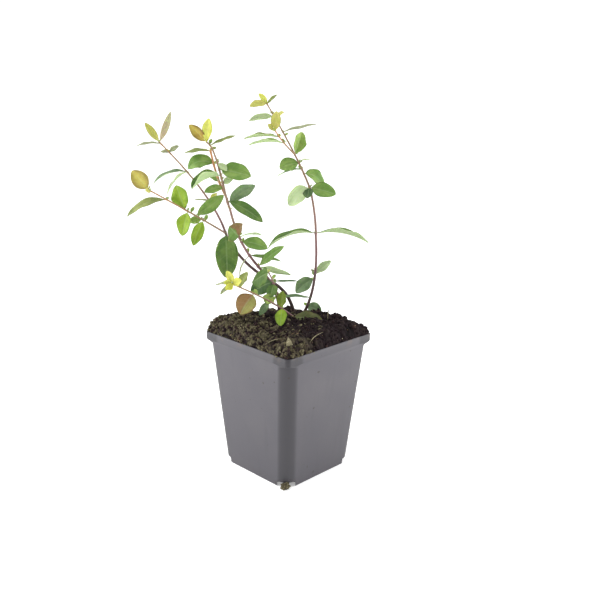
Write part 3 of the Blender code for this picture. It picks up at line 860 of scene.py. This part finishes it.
def clods(x, y, size):
    """Rounded lumps side by side, each about so wide, between 0 and 1."""
    near = noise.voronoi(Vector((x / size, y / size, 0)))[0][0]
    return math.sqrt(max(0, 1 - (1.25 * near) ** 2))


def soil_relief(x, y, settings):
    """How far clods of two sizes and finer lumps stand out, between about -1 and 1."""
    relief = clods(x, y, settings.clod) - 0.5 + 0.6 * (clods(x, y, settings.clod / 2.3) - 0.5)
    return relief + 0.7 * noise.noise(Vector((x, y, 0)) / (0.6 * settings.clod))


def soil_height(x, y, settings):
    """The mound's top: the source's shape, with clods and grains on it."""
    reach = RIM_HALF - WALL_THICKNESS - GAP
    share = max(abs(x / reach), abs(y / reach))
    swell = 1 - min(1, share) ** MOUND_SQUARENESS
    edge = POT_HEIGHT - SOIL_EDGE_DROP
    from_hump = math.hypot(x - HUMP_PLACE[0], y - HUMP_PLACE[1]) / HUMP_REACH
    from_hollow = math.hypot(x - HOLLOW_PLACE[0], y - HOLLOW_PLACE[1]) / HOLLOW_REACH
    raised = MOUND_HEIGHT + HUMP_HEIGHT * math.exp(-from_hump * from_hump) + LUMP_HEIGHT * lump(x, y)
    raised -= HOLLOW_DEPTH * math.exp(-from_hollow * from_hollow)
    rough = settings.clod_height * soil_relief(x, y, settings)
    return edge + raised * swell + rough * min(1, 2 * swell + 0.2)


def on_square(u, v, half, corner):
    """A point of the square from -1 to 1, on a square of this size with round corners."""
    reach = max(abs(u), abs(v))
    if reach == 0:
        return Vector((0, 0, 0))
    x, y = u / reach * half, v / reach * half
    inner = half - corner
    past_x, past_y = abs(x) - inner, abs(y) - inner
    if past_x > 0 and past_y > 0:
        far = math.hypot(past_x, past_y)
        x = math.copysign(inner + past_x / far * corner, x)
        y = math.copysign(inner + past_y / far * corner, y)
    return Vector((x * reach, y * reach, 0))


def soil_mound(settings, finish):
    """The soil from the drain housings up to its clods, and its top alone for what lies on it."""
    clear = WALL_THICKNESS + GAP
    steps = settings.steps
    bm = bmesh.new()
    grid = []
    for i in range(steps + 1):
        row = []
        for j in range(steps + 1):
            p = on_square(2 * i / steps - 1, 2 * j / steps - 1, RIM_HALF - clear, RIM_CORNER - clear)
            p.z = soil_height(p.x, p.y, settings)
            row.append(bm.verts.new(p))
        grid.append(row)
    for i in range(steps):
        for j in range(steps):
            bm.faces.new((grid[i][j], grid[i + 1][j], grid[i + 1][j + 1], grid[i][j + 1]))
    top = bpy.data.meshes.new("soil_top")
    bm.to_mesh(top)

    places = [(i, 0) for i in range(steps)] + [(steps, j) for j in range(steps)]
    places += [(steps - i, steps) for i in range(steps)] + [(0, steps - j) for j in range(steps)]
    upper = [grid[i][j] for i, j in places]
    bottom = NOTCH_HEIGHT + WALL_THICKNESS + GAP
    levels = [(LEDGE + clear, RIM_HALF - clear, RIM_CORNER - clear)]
    levels += [(height, wall_half(height) - clear, WALL_CORNER - clear) for height in (LEDGE, bottom)]
    for height, half, corner in levels:
        lower = []
        for i, j in places:
            p = on_square(2 * i / steps - 1, 2 * j / steps - 1, half, corner)
            lower.append(bm.verts.new((p.x, p.y, height)))
        for k in range(len(places)):
            n = (k + 1) % len(places)
            bm.faces.new((upper[k], lower[k], lower[n], upper[n]))
        upper = lower
    bm.faces.new(reversed(upper))
    mound = object_from(bm, "soil_mound", [finish], 60)
    # How far each point stands out, which the ground's finish reads for its painted highlight on clod
    # tops and its painted shade in the gaps.
    raised = [0.5 + 0.5 * soil_relief(point.co.x, point.co.y, settings) for point in mound.data.vertices]
    mound.data.attributes.new("raised", "FLOAT", "POINT").data.foreach_set("value", raised)
    return mound, top


def crumb_recipe():
    """Scatter uneven crumbs over a surface."""
    numbers = ("Density", "Smallest", "Largest", "Flatness", "Unevenness", "Leaning", "Patchiness")
    recipe = Recipe("crumbs", numbers, ("Seed",))
    seed = recipe.given("Seed")
    across, along, _ = recipe.split(recipe.node("GeometryNodeInputPosition"))
    left = (along - across) * (1 / RIM_HALF)
    share = (1 + left * recipe.given("Leaning")).largest(0.0)
    patches = recipe.node("ShaderNodeTexNoise", None, {"Scale": 75.0, "Detail": 2.0})
    share = share * (1 + (patches - 0.5) * recipe.given("Patchiness")).largest(0.0)
    crumb = recipe.node("GeometryNodeMeshIcoSphere", None, {"Radius": 1.0, "Subdivisions": 1})
    size = recipe.random(recipe.given("Smallest"), recipe.given("Largest"), seed + 1)
    shape = recipe.random((0.65, 0.65, 0.55), (1, 1, 0.9), seed + 2)
    flat = recipe.node("ShaderNodeCombineXYZ", None, {"X": 1.0, "Y": 1.0, "Z": recipe.given("Flatness")})
    shape = recipe.node("ShaderNodeVectorMath", {"operation": "MULTIPLY"}, {0: shape, 1: flat})
    turn = recipe.random((-1.2, -1.2, 0), (1.2, 1.2, 2 * math.pi), seed + 3)
    crumbs = recipe.scatter(crumb, recipe.given("Density") * share, recipe.scaled(shape, size), turn)
    real = recipe.node("GeometryNodeRealizeInstances", None, {"Geometry": crumbs})
    bumps = recipe.node("ShaderNodeTexNoise", None, {"Scale": 900.0, "Detail": 1.0}, output="Color")
    bumps = recipe.node("ShaderNodeVectorMath", {"operation": "SUBTRACT"}, {0: bumps, 1: (0.5, 0.5, 0.5)})
    sockets = {"Geometry": real, "Offset": recipe.scaled(bumps, recipe.given("Unevenness"))}
    return recipe.close(recipe.node("GeometryNodeSetPosition", None, sockets))


def fibre_recipe():
    """Scatter thin bent straws and root hairs over a surface, lying mostly flat."""
    recipe = Recipe("fibres", ("Density", "Shortest", "Longest", "Thickness"), ("Seed",))
    seed = recipe.given("Seed")
    sockets = {
        "Resolution": 5,
        "Start": (-0.5, 0, 0),
        "Start Handle": (-0.2, 0.16, 0.12),
        "End Handle": (0.2, -0.1, 0.16),
        "End": (0.5, 0, -0.02),
    }
    strand = recipe.node("GeometryNodeCurvePrimitiveBezierSegment", None, sockets)
    sockets = {"Resolution": 4, "Radius": recipe.given("Thickness")}
    profile = recipe.node("GeometryNodeCurvePrimitiveCircle", None, sockets)
    sockets = {"Curve": strand, "Profile Curve": profile, "Fill Caps": True}
    tube = recipe.node("GeometryNodeCurveToMesh", None, sockets)
    size = recipe.random(recipe.given("Shortest"), recipe.given("Longest"), seed + 1)
    turn = recipe.random((-0.4, -0.45, 0), (0.4, 0.45, 2 * math.pi), seed + 2)
    return recipe.close(recipe.scatter(tube, recipe.given("Density"), size, turn))


def flake(bm, foot, tip, width, thickness=0.5, bend=0.12, steps=8):
    """A thin bent flake from foot to tip, pointed at both ends."""
    way = tip - foot
    side = way.cross(Vector((0.3, 1, 0.2))).normalized()
    out = side.cross(way).normalized()
    rings = []
    for i in range(steps + 1):
        share = i / steps
        centre = foot.lerp(tip, share) + out * way.length * bend * math.sin(math.pi * share)
        half = max(0.12 * MM, width / 2 * math.sin(math.pi * share) ** 0.8)
        deep = thickness * MM / 2 * max(0.3, math.sin(math.pi * share))
        ring = [centre - side * half, centre + out * deep, centre + side * half, centre - out * deep]
        rings.append(ring)
    loft(bm, rings)


def litter(finish):
    """The pale flake and the bits of stick that lie on the soil near the front and the right."""
    bm = bmesh.new()
    flake(bm, in_plant(FLAKE["foot"]), in_plant(FLAKE["tip"]), FLAKE["width"] * MM)
    for foot, tip, width in STICKS:
        flake(bm, in_plant(foot), in_plant(tip), width * MM, 0.8)
    return object_from(bm, "soil_litter", [finish], 50)


def drain_clump(finish):
    """The clump of soil and roots that hangs from the front drain."""
    bm = bmesh.new()
    bmesh.ops.create_icosphere(bm, subdivisions=4, radius=1)
    centre = in_plant(CLUMP_PLACE)
    for vertex in bm.verts:
        swell = 1 + 0.5 * noise.noise(vertex.co * 1.8) + 0.3 * noise.noise(vertex.co * 4.5)
        x, y, z = (c * s * MM * swell for c, s in zip(vertex.co, CLUMP_SIZE))
        vertex.co = centre + Vector((x, y, z))
        vertex.co.z = max(vertex.co.z, 0.1 * MM)
    return object_from(bm, "drain_clump", [finish], 60)


def ground_tree():
    """The packed soil as a tree, in the plant's frame."""
    bm = bmesh.new()
    bm.from_mesh(frame["nodes"]["soil"].data)
    bm.transform(PLANT_TURN.transposed())
    tree = BVHTree.FromBMesh(bm)
    bm.free()
    return tree


def stand_on_soil(shoot, ground):
    """Raise or lower a shoot's first point until its flat foot just clears the soil."""
    start = shoot.points[0]
    tops = []
    for step in range(FOOT_PROBES):
        angle = step / FOOT_PROBES * 2 * math.pi
        spot = start + Vector((math.cos(angle), math.sin(angle), 0)) * shoot.thick / 2
        spot.z = 2 * POT_HEIGHT
        tops.append(ground.ray_cast(spot, Vector((0, 0, -1)))[0].z)
    start.z = max(tops) + GAP


def start_from(shoot, parent):
    """Start a shoot 0.3 mm clear of its parent's tip, or of its side."""
    along = shoot.start[1]
    place = parent.at(along)
    if along == 1:
        shoot.points[0] = place + parent.heading(1) * GAP
        return
    way = (shoot.points[1] - place).normalized()
    spread = way.angle(parent.heading(along))
    clear = parent.radius(along) + GAP + shoot.thick / 2 * math.cos(spread)
    shoot.points[0] = place + way * (clear / math.sin(spread))


def settle():
    """Put the first point of every stem where the source puts it, and return all the stems."""
    every = {**CANES, **SHOOTS}
    ground = ground_tree()
    for shoot in every.values():
        if shoot.on_soil:
            stand_on_soil(shoot, ground)
        else:
            start_from(shoot, every[shoot.start[0]])
    return every


def source_leaves(leaves, rule):
    """The leaves of one shoot as the source grows them, each with the way that it points."""
    wanted = []
    for leaf in leaves:
        sideways = abs(math.cos(math.radians(leaf.turn)))
        wanted.append((leaf, leaf.turn + rule.uniform(-TURN_JITTER, TURN_JITTER) * sideways))
    for along in sorted({round(leaf.along, 1) for leaf in leaves}):
        if TUFT_SPAN[0] < along < TUFT_SPAN[1]:
            length = rule.uniform(*TUFT_LENGTH)
            turn = rule.uniform(*TUFT_TURN)
            rise = rule.uniform(*TUFT_RISE)
            small = Leaf(along, turn, rise, length, length * TUFT_WIDTH, "fresh")
            wanted.append((small, turn))
    return wanted


def finer_leaves(leaves, finer, settings):
    """Small leaves in the axils of a shoot's own, and a folded pair at its tip."""
    found = []
    for along in sorted({leaf.along for leaf in leaves}):
        for _ in range(settings.axil_leaves):
            length = finer.uniform(*AXIL_LENGTH)
            turn = finer.uniform(0, 360)
            rise = finer.uniform(*AXIL_RISE)
            tint = finer.choice(AXIL_TINTS)
            found.append((Leaf(along, turn, rise, length, length * AXIL_WIDTH, tint), turn))
    for turn in TIP_TURNS:
        length = finer.uniform(*TIP_LENGTH)
        found.append((Leaf(TIP_PLACE, turn, TIP_RISE, length, length * TIP_WIDTH, "yellow"), turn))
    return found


def half_width(leaf, share):
    """A blade's half width: a short stalk, then an ellipse that is widest below its middle."""
    if share <= LEAF_STALK:
        return LEAF_ROOT_HALF * (1 - 0.3 * share / LEAF_STALK)
    through = (share - LEAF_STALK) / (1 - LEAF_STALK)
    half = leaf.width / 2 * math.sin(math.pi * through**0.9) ** 0.68
    return max(0.7 * LEAF_ROOT_HALF * (1 - through), half)


def add_blade(bm, shoot, leaf, turn, slots, finer, settings):
    """One leaf as a closed blade with its own outline, grooved at the midrib and wavy at its edges."""
    small = leaf.length < settings.small
    rows, columns = (8, 2) if small else (settings.rows, settings.columns)
    compass = math.radians(turn)
    level = Vector((math.cos(compass), math.sin(compass), 0))
    across = Vector((math.sin(compass), -math.cos(compass), 0))
    lean = math.radians(leaf.face) * (1 if math.cos(compass) >= 0 else -1)
    keel = math.radians(leaf.keel)
    waves = [(finer.uniform(1.2, 2.6), finer.uniform(0, 2 * math.pi)) for _ in range(2)]
    twist = math.radians(finer.uniform(-10, 10))
    place = shoot.at(leaf.along)
    uv = bm.loops.layers.uv["blade"]
    upper, lower = [], []
    shares = [(i / rows) ** 0.9 for i in range(rows + 1)]
    for i, share in enumerate(shares):
        slope = math.radians(leaf.rise - leaf.droop * (share + LEAF_LAG))
        forward = level * math.cos(slope) + Vector((0, 0, math.sin(slope)))
        upright = level * -math.sin(slope) + Vector((0, 0, math.cos(slope)))
        roll = lean + twist * share
        normal = upright * math.cos(roll) + across * math.sin(roll)
        side = forward.cross(normal)
        if i:
            place = place + forward * leaf.length * (share - shares[i - 1])
        half = half_width(leaf, share)
        thick = settings.thickness if share > 2 * LEAF_STALK else 2.2 * settings.thickness
        tops, bottoms = [], []
        for j in range(-columns, columns + 1):
            u = j / columns
            fold = (math.sqrt(u * u + 0.02) - 0.14) * math.sin(keel)
            curl = -settings.curl * abs(u) ** 3
            pace, phase = waves[j > 0]
            ripple = settings.wave * u * u * math.sin(2 * math.pi * pace * share + phase)
            at = place + side * half * u * math.cos(keel) + normal * half * (fold + curl + ripple)
            fade = min(1, half / (0.1 * leaf.width + 1e-9) / 5)
            groove = settings.groove * max(0, 1 - abs(u) * 3.5) * fade
            deep = normal * thick / 2 * (1 - u * u) ** 0.5
            at = at - normal * groove
            if abs(j) == columns:
                edge = bm.verts.new(at)
                tops.append(edge)
                bottoms.append(edge)
            else:
                tops.append(bm.verts.new(at + deep))
                bottoms.append(bm.verts.new(at - deep))
        upper.append(tops)
        lower.append(bottoms)

    def face(corners, places, slot):
        made = bm.faces.new(corners)
        made.material_index = slot
        for loop, spot in zip(made.loops, places):
            loop[uv].uv = spot

    wide = 2 * columns
    for i in range(rows):
        for j in range(wide):
            square = ((i, j), (i, j + 1), (i + 1, j + 1), (i + 1, j))
            places = [(b / wide, shares[a]) for a, b in square]
            face([upper[a][b] for a, b in square], places, slots[0])
            face([lower[a][b] for a, b in square[::-1]], places[::-1], slots[1])
    for i in (0, rows):
        ring = upper[i] + lower[i][-2:0:-1]
        face(ring if i else ring[::-1], [(0.5, shares[i])] * len(ring), slots[1])


class Skins:
    """The leaf materials, each made when its tint is first wanted."""

    def __init__(self, settings):
        self.settings = settings
        self.made = {}

    def paler(self, colour):
        return tuple(c + (u - c) * UNDERSIDE_SHARE for c, u in zip(colour, UNDERSIDE))

    def get(self, tint, under):
        key = tint + ("_under" if under else "")
        if key not in self.made:
            colours = [srgb(*colour) for colour in TINTS[tint]]
            if under:
                colours = [self.paler(colour) for colour in colours]
            pattern = PATTERNS.get(tint, PLAIN_PATTERN)
            self.made[key] = leaf_skin("leaf_" + key, colours, pattern, self.settings)
        return self.made[key]


def leafy_mass(name, shoot, grown, skins, finer, settings):
    """All the leaves of one shoot as one piece, with a slot for each skin that it shows."""
    bm = bmesh.new()
    bm.loops.layers.uv.new("blade")
    order = {}
    for leaf, turn in grown:
        slots = []
        for under in (False, True):
            skin = skins.get(leaf.tint, under)
            slots.append(order.setdefault(skin.name, len(order)))
        add_blade(bm, shoot, leaf, turn, slots, finer, settings)
    bm.transform(PLANT_TURN)
    return object_from(bm, name + "_leaves", [bpy.data.materials[key] for key in order], 75)


def stem_recipe():
    """Thicken lines into stems: round, as thick as each point says, with the bark's relief."""
    recipe = Recipe("stems", ("Relief",), ("Sides",))
    line = recipe.node("GeometryNodeMeshToCurve", None, {"Mesh": recipe.given("Geometry")})
    thick = recipe.node("GeometryNodeInputNamedAttribute", None, {"Name": "thickness"})
    sockets = {"Resolution": recipe.given("Sides"), "Radius": 1.0}
    profile = recipe.node("GeometryNodeCurvePrimitiveCircle", None, sockets)
    sockets = {"Curve": line, "Profile Curve": profile, "Scale": thick, "Fill Caps": True}
    tube = recipe.node("GeometryNodeCurveToMesh", None, sockets)
    relief = recipe.node("ShaderNodeTexNoise", None, {"Scale": 1100.0, "Detail": 2.0})
    lift = (relief - 0.5) * recipe.given("Relief")
    offset = recipe.scaled(recipe.node("GeometryNodeInputNormal"), lift)
    rough = recipe.node("GeometryNodeSetPosition", None, {"Geometry": tube, "Offset": offset})
    smooth = recipe.node("GeometryNodeSetShadeSmooth", None, {"Geometry": rough, "Shade Smooth": True})
    return recipe.close(smooth)


def stem_lines(every, settings):
    """A line along each stem, with its thickness and tone, swollen where leaves grow."""
    mesh = bpy.data.meshes.new("stem_lines")
    places, edges, thicknesses, tones = [], [], [], []
    for name, shoot in every.items():
        joints = sorted({leaf.along for leaf in LEAVES.get(name, [])})
        count = max(6, round((shoot.points[-1] - shoot.points[0]).length / settings.step))
        first = len(places)
        begin = shoot.points[0] - Vector((0, 0, settings.sunk))
        if not shoot.on_soil:
            parent = every[shoot.start[0]]
            begin = parent.at(min(shoot.start[1], 0.985))
        stations = [None] + [i / count for i in range(count + 1)]
        for along in stations:
            point = begin if along is None else shoot.at(along)
            share = along or 0
            swell = sum(math.exp(-(((share - joint) * count / 0.9) ** 2)) for joint in joints)
            places.append(PLANT_TURN @ point)
            thicknesses.append(shoot.radius(share) * (1 + settings.joint_swell * min(1, swell)))
            tones.append(shoot.tones[0] + (shoot.tones[1] - shoot.tones[0]) * share)
        edges += [(i, i + 1) for i in range(first, len(places) - 1)]
    mesh.from_pydata(places, edges, [])
    for name, values in (("thickness", thicknesses), ("tone", tones)):
        mesh.attributes.new(name, "FLOAT", "POINT").data.foreach_set("value", values)
    return mesh


def length_setting(name, description, default):
    """A setting that is a length."""
    return FloatProperty(name=name, description=description, unit="LENGTH", default=default, min=0)


def share_setting(name, description, default):
    """A setting from none to all."""
    return FloatProperty(
        name=name, description=description, subtype="FACTOR", default=default, min=0, max=1
    )


def number_setting(name, description, default):
    """A setting that is a plain number."""
    return FloatProperty(name=name, description=description, default=default, min=0)


def whole_setting(name, description, default, least=1):
    """A setting that is a whole number."""
    return IntProperty(name=name, description=description, default=default, min=least)


class ShrubPotSettings(bpy.types.PropertyGroup):
    """The pot's finish."""

    colour: FloatVectorProperty(
        name="Colour",
        description="Colour of the plastic",
        subtype="COLOR",
        default=srgb(78, 76, 82),
        min=0,
        max=1,
    )
    edge: length_setting("Edge", "Radius of the moulded edges", 0.45 * MM)
    sweep: length_setting("Sweep", "How far below the lip the flat walls bend out", 2.4 * MM)
    # Painted shade on the rounded corners.
    painted_corner_shade: share_setting("Painted corner shade", "How dark the rounded corners are", 0.7)
    wear: share_setting("Wear", "How strongly specks show", 0.7)


class ShrubSoilSettings(bpy.types.PropertyGroup):
    """The soil's relief and what lies on it."""

    steps: whole_setting("Steps", "Faces along a side of the mound", 150)
    clod: length_setting("Clod", "Width of a clod", 5 * MM)
    clod_height: length_setting("Clod height", "How far clods stand out", 1.9 * MM)
    crumbs: number_setting("Crumbs", "Crumbs to the square metre", 220000)
    fibres: number_setting("Fibres", "Straws to the square metre", 4500)


class ShrubStemSettings(bpy.types.PropertyGroup):
    """The stems."""

    sides: whole_setting("Sides", "Faces round a stem", 14, 5)
    step: length_setting("Step", "Distance between rings", 1.2 * MM)
    relief: length_setting("Relief", "Depth of the bark's relief", 0.22 * MM)
    sunk: length_setting("Sunk", "How far stems go into the soil", 4 * MM)
    joint_swell: number_setting("Joints", "How far a stem swells where leaves grow", 0.28)


class ShrubLeafSettings(bpy.types.PropertyGroup):
    """The leaves."""

    rows: whole_setting("Rows", "Faces along a blade", 20, 4)
    columns: whole_setting("Columns", "Faces across half a blade", 4, 2)
    small: length_setting("Small", "Length below which a blade has few faces", 8 * MM)
    thickness: length_setting("Thickness", "Thickness at the midrib", 0.36 * MM)
    groove: length_setting("Groove", "Depth of the midrib's groove", 0.12 * MM)
    curl: number_setting("Curl", "How far edges curl down", 0.08)
    wave: number_setting("Wave", "How far edges ripple", 0.12)
    axil_leaves: whole_setting("Axil leaves", "Small leaves at a joint", 1, 0)
    vein_pairs: number_setting("Veins", "Pairs of side veins", 6)
    roughness: share_setting("Roughness", "Roughness of the leaf skin", 0.48)
    glow: share_setting("Glow", "How much light the blades let through", 0.15)


class ShrubStageSettings(bpy.types.PropertyGroup):
    """The studio."""

    glow: number_setting("Glow", "Light from below the floor", 0.35)
    sky: number_setting("Sky", "Brightness behind the shrub", 1.05)
    shade: number_setting("Shade", "Brightness on the camera's side", 0.3)
    sun: number_setting("Sun", "Strength of the light from above", 1.2)
    side: FloatProperty(name="Sides", description="Power of each side light", unit="POWER", default=5)


class SHRUB_OT_pot(bpy.types.Operator):
    """Make the nursery pot with its softened edges"""

    bl_idname = "shrub.pot"
    bl_label = "Make Pot"

    def execute(self, context):
        belongs(pot_shell(context.scene.shrub_pot), "pot_plastic", "pot")
        return {"FINISHED"}


class SHRUB_OT_soil(bpy.types.Operator):
    """Make the mound of soil with its crumbs, straws and litter"""

    bl_idname = "shrub.soil"
    bl_label = "Make Soil"

    def execute(self, context):
        settings = context.scene.shrub_soil
        peat = earth("soil_peat", (srgb(24, 14, 18), srgb(46, 33, 35)), moss=0.5)
        ground = earth("soil_ground", (srgb(22, 13, 16), srgb(44, 31, 33)), moss=0.6, clods=True)
        brown = earth("soil_brown", (srgb(40, 27, 28), srgb(72, 54, 48)), moss=0.5)
        olive = earth("soil_olive", (srgb(72, 66, 50), srgb(122, 116, 88)), relief=0.15)
        pale = earth("soil_pale", (srgb(134, 127, 100), srgb(184, 175, 142)), relief=0.1)
        straw = earth("soil_straw", (srgb(128, 102, 76), srgb(176, 152, 116)), relief=0.05)
        mound, top = soil_mound(settings, ground)
        belongs(mound, "soil", "soil")
        recipe = crumb_recipe()
        kinds = [
            ("soil_crumbs_dark", 0.6, 0.4, 1.8, 0.8, 0, 0, 3, peat),
            ("soil_crumbs_brown", 0.2, 0.5, 2.0, 0.8, 0.6, 3, 17, brown),
            ("soil_crumbs_olive", 0.15, 0.7, 2.7, 0.7, 1.1, 9, 29, olive),
            ("soil_chips", 0.02, 0.4, 1.2, 0.5, 0.3, 0, 41, pale),
        ]
        for name, share, smallest, largest, *others in kinds:
            values = dict(zip(("Flatness", "Leaning", "Patchiness", "Seed", "Finish"), others))
            values |= {"Density": settings.crumbs * share, "Unevenness": 0.9 * MM}
            values |= {"Smallest": smallest * MM, "Largest": largest * MM}
            belongs(recipe.run(name, top, values), "soil")
        values = {
            "Density": settings.fibres,
            "Shortest": 2 * MM,
            "Longest": 7 * MM,
            "Thickness": 0.03,
            "Seed": 53,
            "Finish": straw,
        }
        belongs(fibre_recipe().run("soil_straws", top, values), "soil")
        belongs(litter(pale), "soil")
        belongs(drain_clump(olive), "soil")
        return {"FINISHED"}


class SHRUB_OT_stems(bpy.types.Operator):
    """Make the canes and the stems of the leafy shoots"""

    bl_idname = "shrub.stems"
    bl_label = "Make Stems"

    def execute(self, context):
        settings = context.scene.shrub_stems
        lines = stem_lines(settle(), settings)
        values = {"Sides": settings.sides, "Relief": settings.relief, "Finish": bark(settings)}
        belongs(stem_recipe().run("stems", lines, values), "bark", *CANES)
        return {"FINISHED"}


class SHRUB_OT_leaves(bpy.types.Operator):
    """Grow the leaves of every shoot"""

    bl_idname = "shrub.leaves"
    bl_label = "Grow Leaves"

    def execute(self, context):
        settings = context.scene.shrub_leaves
        slots = {part["node"]: part["material_slot"] for part in frame["record"]["subparts"]}
        skins = Skins(settings)
        rule = random.Random(PLANT_SEED)
        finer = random.Random(PLANT_SEED + 1)
        settle()
        for name, shoot in SHOOTS.items():
            grown = source_leaves(LEAVES[name], rule)
            grown += finer_leaves(LEAVES[name], finer, settings)
            mass = leafy_mass(name, shoot, grown, skins, finer, settings)
            belongs(mass, slots[name], name)
        return {"FINISHED"}


class SHRUB_OT_stage(bpy.types.Operator):
    """Make the pale floor, the studio light and the camera"""

    bl_idname = "shrub.stage"
    bl_label = "Set Stage"

    def execute(self, context):
        settings = context.scene.shrub_stage
        context.scene.view_settings.view_transform = "Standard"
        floor_and_light(settings)
        camera(context)
        return {"FINISHED"}


def floor_and_light(settings):
    """A wide pale floor, a sky that is bright behind and dim in front, a soft sun and side lights."""
    bm = bmesh.new()
    bmesh.ops.create_circle(bm, cap_ends=True, segments=64, radius=FLOOR_REACH)
    constants = {
        "Roughness": 0.9,
        "Specular IOR Level": 0.1,
        "Emission Color": (1, 1, 1, 1),
        "Emission Strength": settings.glow,
    }
    finish = Finish("stage_floor", constants)
    faint = finish.step(finish.grain(3, 2), 0.3, 0.7) * 0.04
    finish.paint(finish.mix(faint, srgb(246, 246, 246), srgb(236, 236, 238)))
    object_from(bm, "stage_floor", [finish.material])

    world = bpy.data.worlds.new("studio")
    world.use_nodes = True
    bpy.context.scene.world = world
    nodes = Nodes(world.node_tree)
    ray = nodes.node("ShaderNodeTexCoord", output="Generated")
    sockets = {0: ray, 1: tuple(PLANT_TURN @ Vector((0, 1, 0)))}
    ahead = nodes.node("ShaderNodeVectorMath", {"operation": "DOT_PRODUCT"}, sockets, output="Value")
    background = world.node_tree.nodes["Background"]
    nodes.feed(background.inputs["Color"], (1, 1, 1))
    bright = nodes.step(ahead, -1.0, 0.1, settings.shade, settings.sky)
    nodes.feed(background.inputs["Strength"], bright)

    sun = bpy.data.lights.new("sun", "SUN")
    sun.energy = settings.sun
    sun.angle = math.radians(SUN_SPREAD)
    aim_light(sun, SUN_PLACE, SUN_TARGET)
    for side in (-1, 1):
        panel = bpy.data.lights.new("side_light", "AREA")
        panel.energy = settings.side
        panel.shape = "RECTANGLE"
        panel.size, panel.size_y = SIDE_LIGHT_SIZE
        aside, behind, above = SIDE_LIGHT_PLACE
        aim_light(panel, (side * aside, behind, above), SIDE_LIGHT_TARGET)


def aim_light(light, place, target):
    lamp = link_object(light.name, light)
    lamp.location = in_plant(place)
    lamp.rotation_euler = (in_plant(target) - lamp.location).to_track_quat("-Z", "Y").to_euler()


def camera(context):
    """The photo's camera: it looks over the pot's front corner, a little down."""
    lens_data = bpy.data.cameras.new("photo_camera")
    lens_data.sensor_width = SENSOR
    lens_data.lens = FOCAL_PIXELS * SENSOR / PICTURE
    lens_data.shift_x = (PICTURE / 2 - MIDDLE_PIXEL[0]) / PICTURE
    lens_data.shift_y = -(PICTURE / 2 - MIDDLE_PIXEL[1]) / PICTURE
    lens_data.clip_start = 0.01
    lens_data.clip_end = 2 * FLOOR_REACH
    holder = link_object("photo_camera", lens_data)
    tilt = Matrix.Rotation(math.radians(90 - CAMERA_PITCH), 4, "X")
    roll = Matrix.Rotation(math.radians(CAMERA_ROLL), 4, "Z")
    holder.matrix_world = Matrix.Translation(in_plant(CAMERA_PLACE)) @ PLANT_TURN @ tilt @ roll
    context.scene.camera = holder


class SHRUB_PT_panel(bpy.types.Panel):
    """Buttons for every step, and the values that shape it"""

    bl_idname = "SHRUB_PT_panel"
    bl_label = "Potted Shrub"
    bl_space_type = "VIEW_3D"
    bl_region_type = "UI"
    bl_category = "Shrub"

    def draw(self, context):
        for step in STEPS:
            box = self.layout.box()
            group = getattr(context.scene, "shrub_" + step)
            for name in group.bl_rna.properties.keys():
                if name not in ("rna_type", "name"):
                    box.prop(group, name)
            box.operator("shrub." + step)


# The steps in their order, each with the settings that the scene keeps for it.
STEPS = {
    "pot": ShrubPotSettings,
    "soil": ShrubSoilSettings,
    "stems": ShrubStemSettings,
    "leaves": ShrubLeafSettings,
    "stage": ShrubStageSettings,
}
OTHERS = (SHRUB_OT_pot, SHRUB_OT_soil, SHRUB_OT_stems, SHRUB_OT_leaves, SHRUB_OT_stage, SHRUB_PT_panel)


def register():
    for made in (*STEPS.values(), *OTHERS):
        bpy.utils.register_class(made)
    for step, group in STEPS.items():
        setattr(bpy.types.Scene, "shrub_" + step, PointerProperty(type=group))


def unregister():
    for step in STEPS:
        delattr(bpy.types.Scene, "shrub_" + step)
    for made in reversed((*STEPS.values(), *OTHERS)):
        bpy.utils.unregister_class(made)


def main():
    register()
    for step in STEPS:
        getattr(bpy.ops.shrub, step)()


if __name__ == "__main__":
    main()
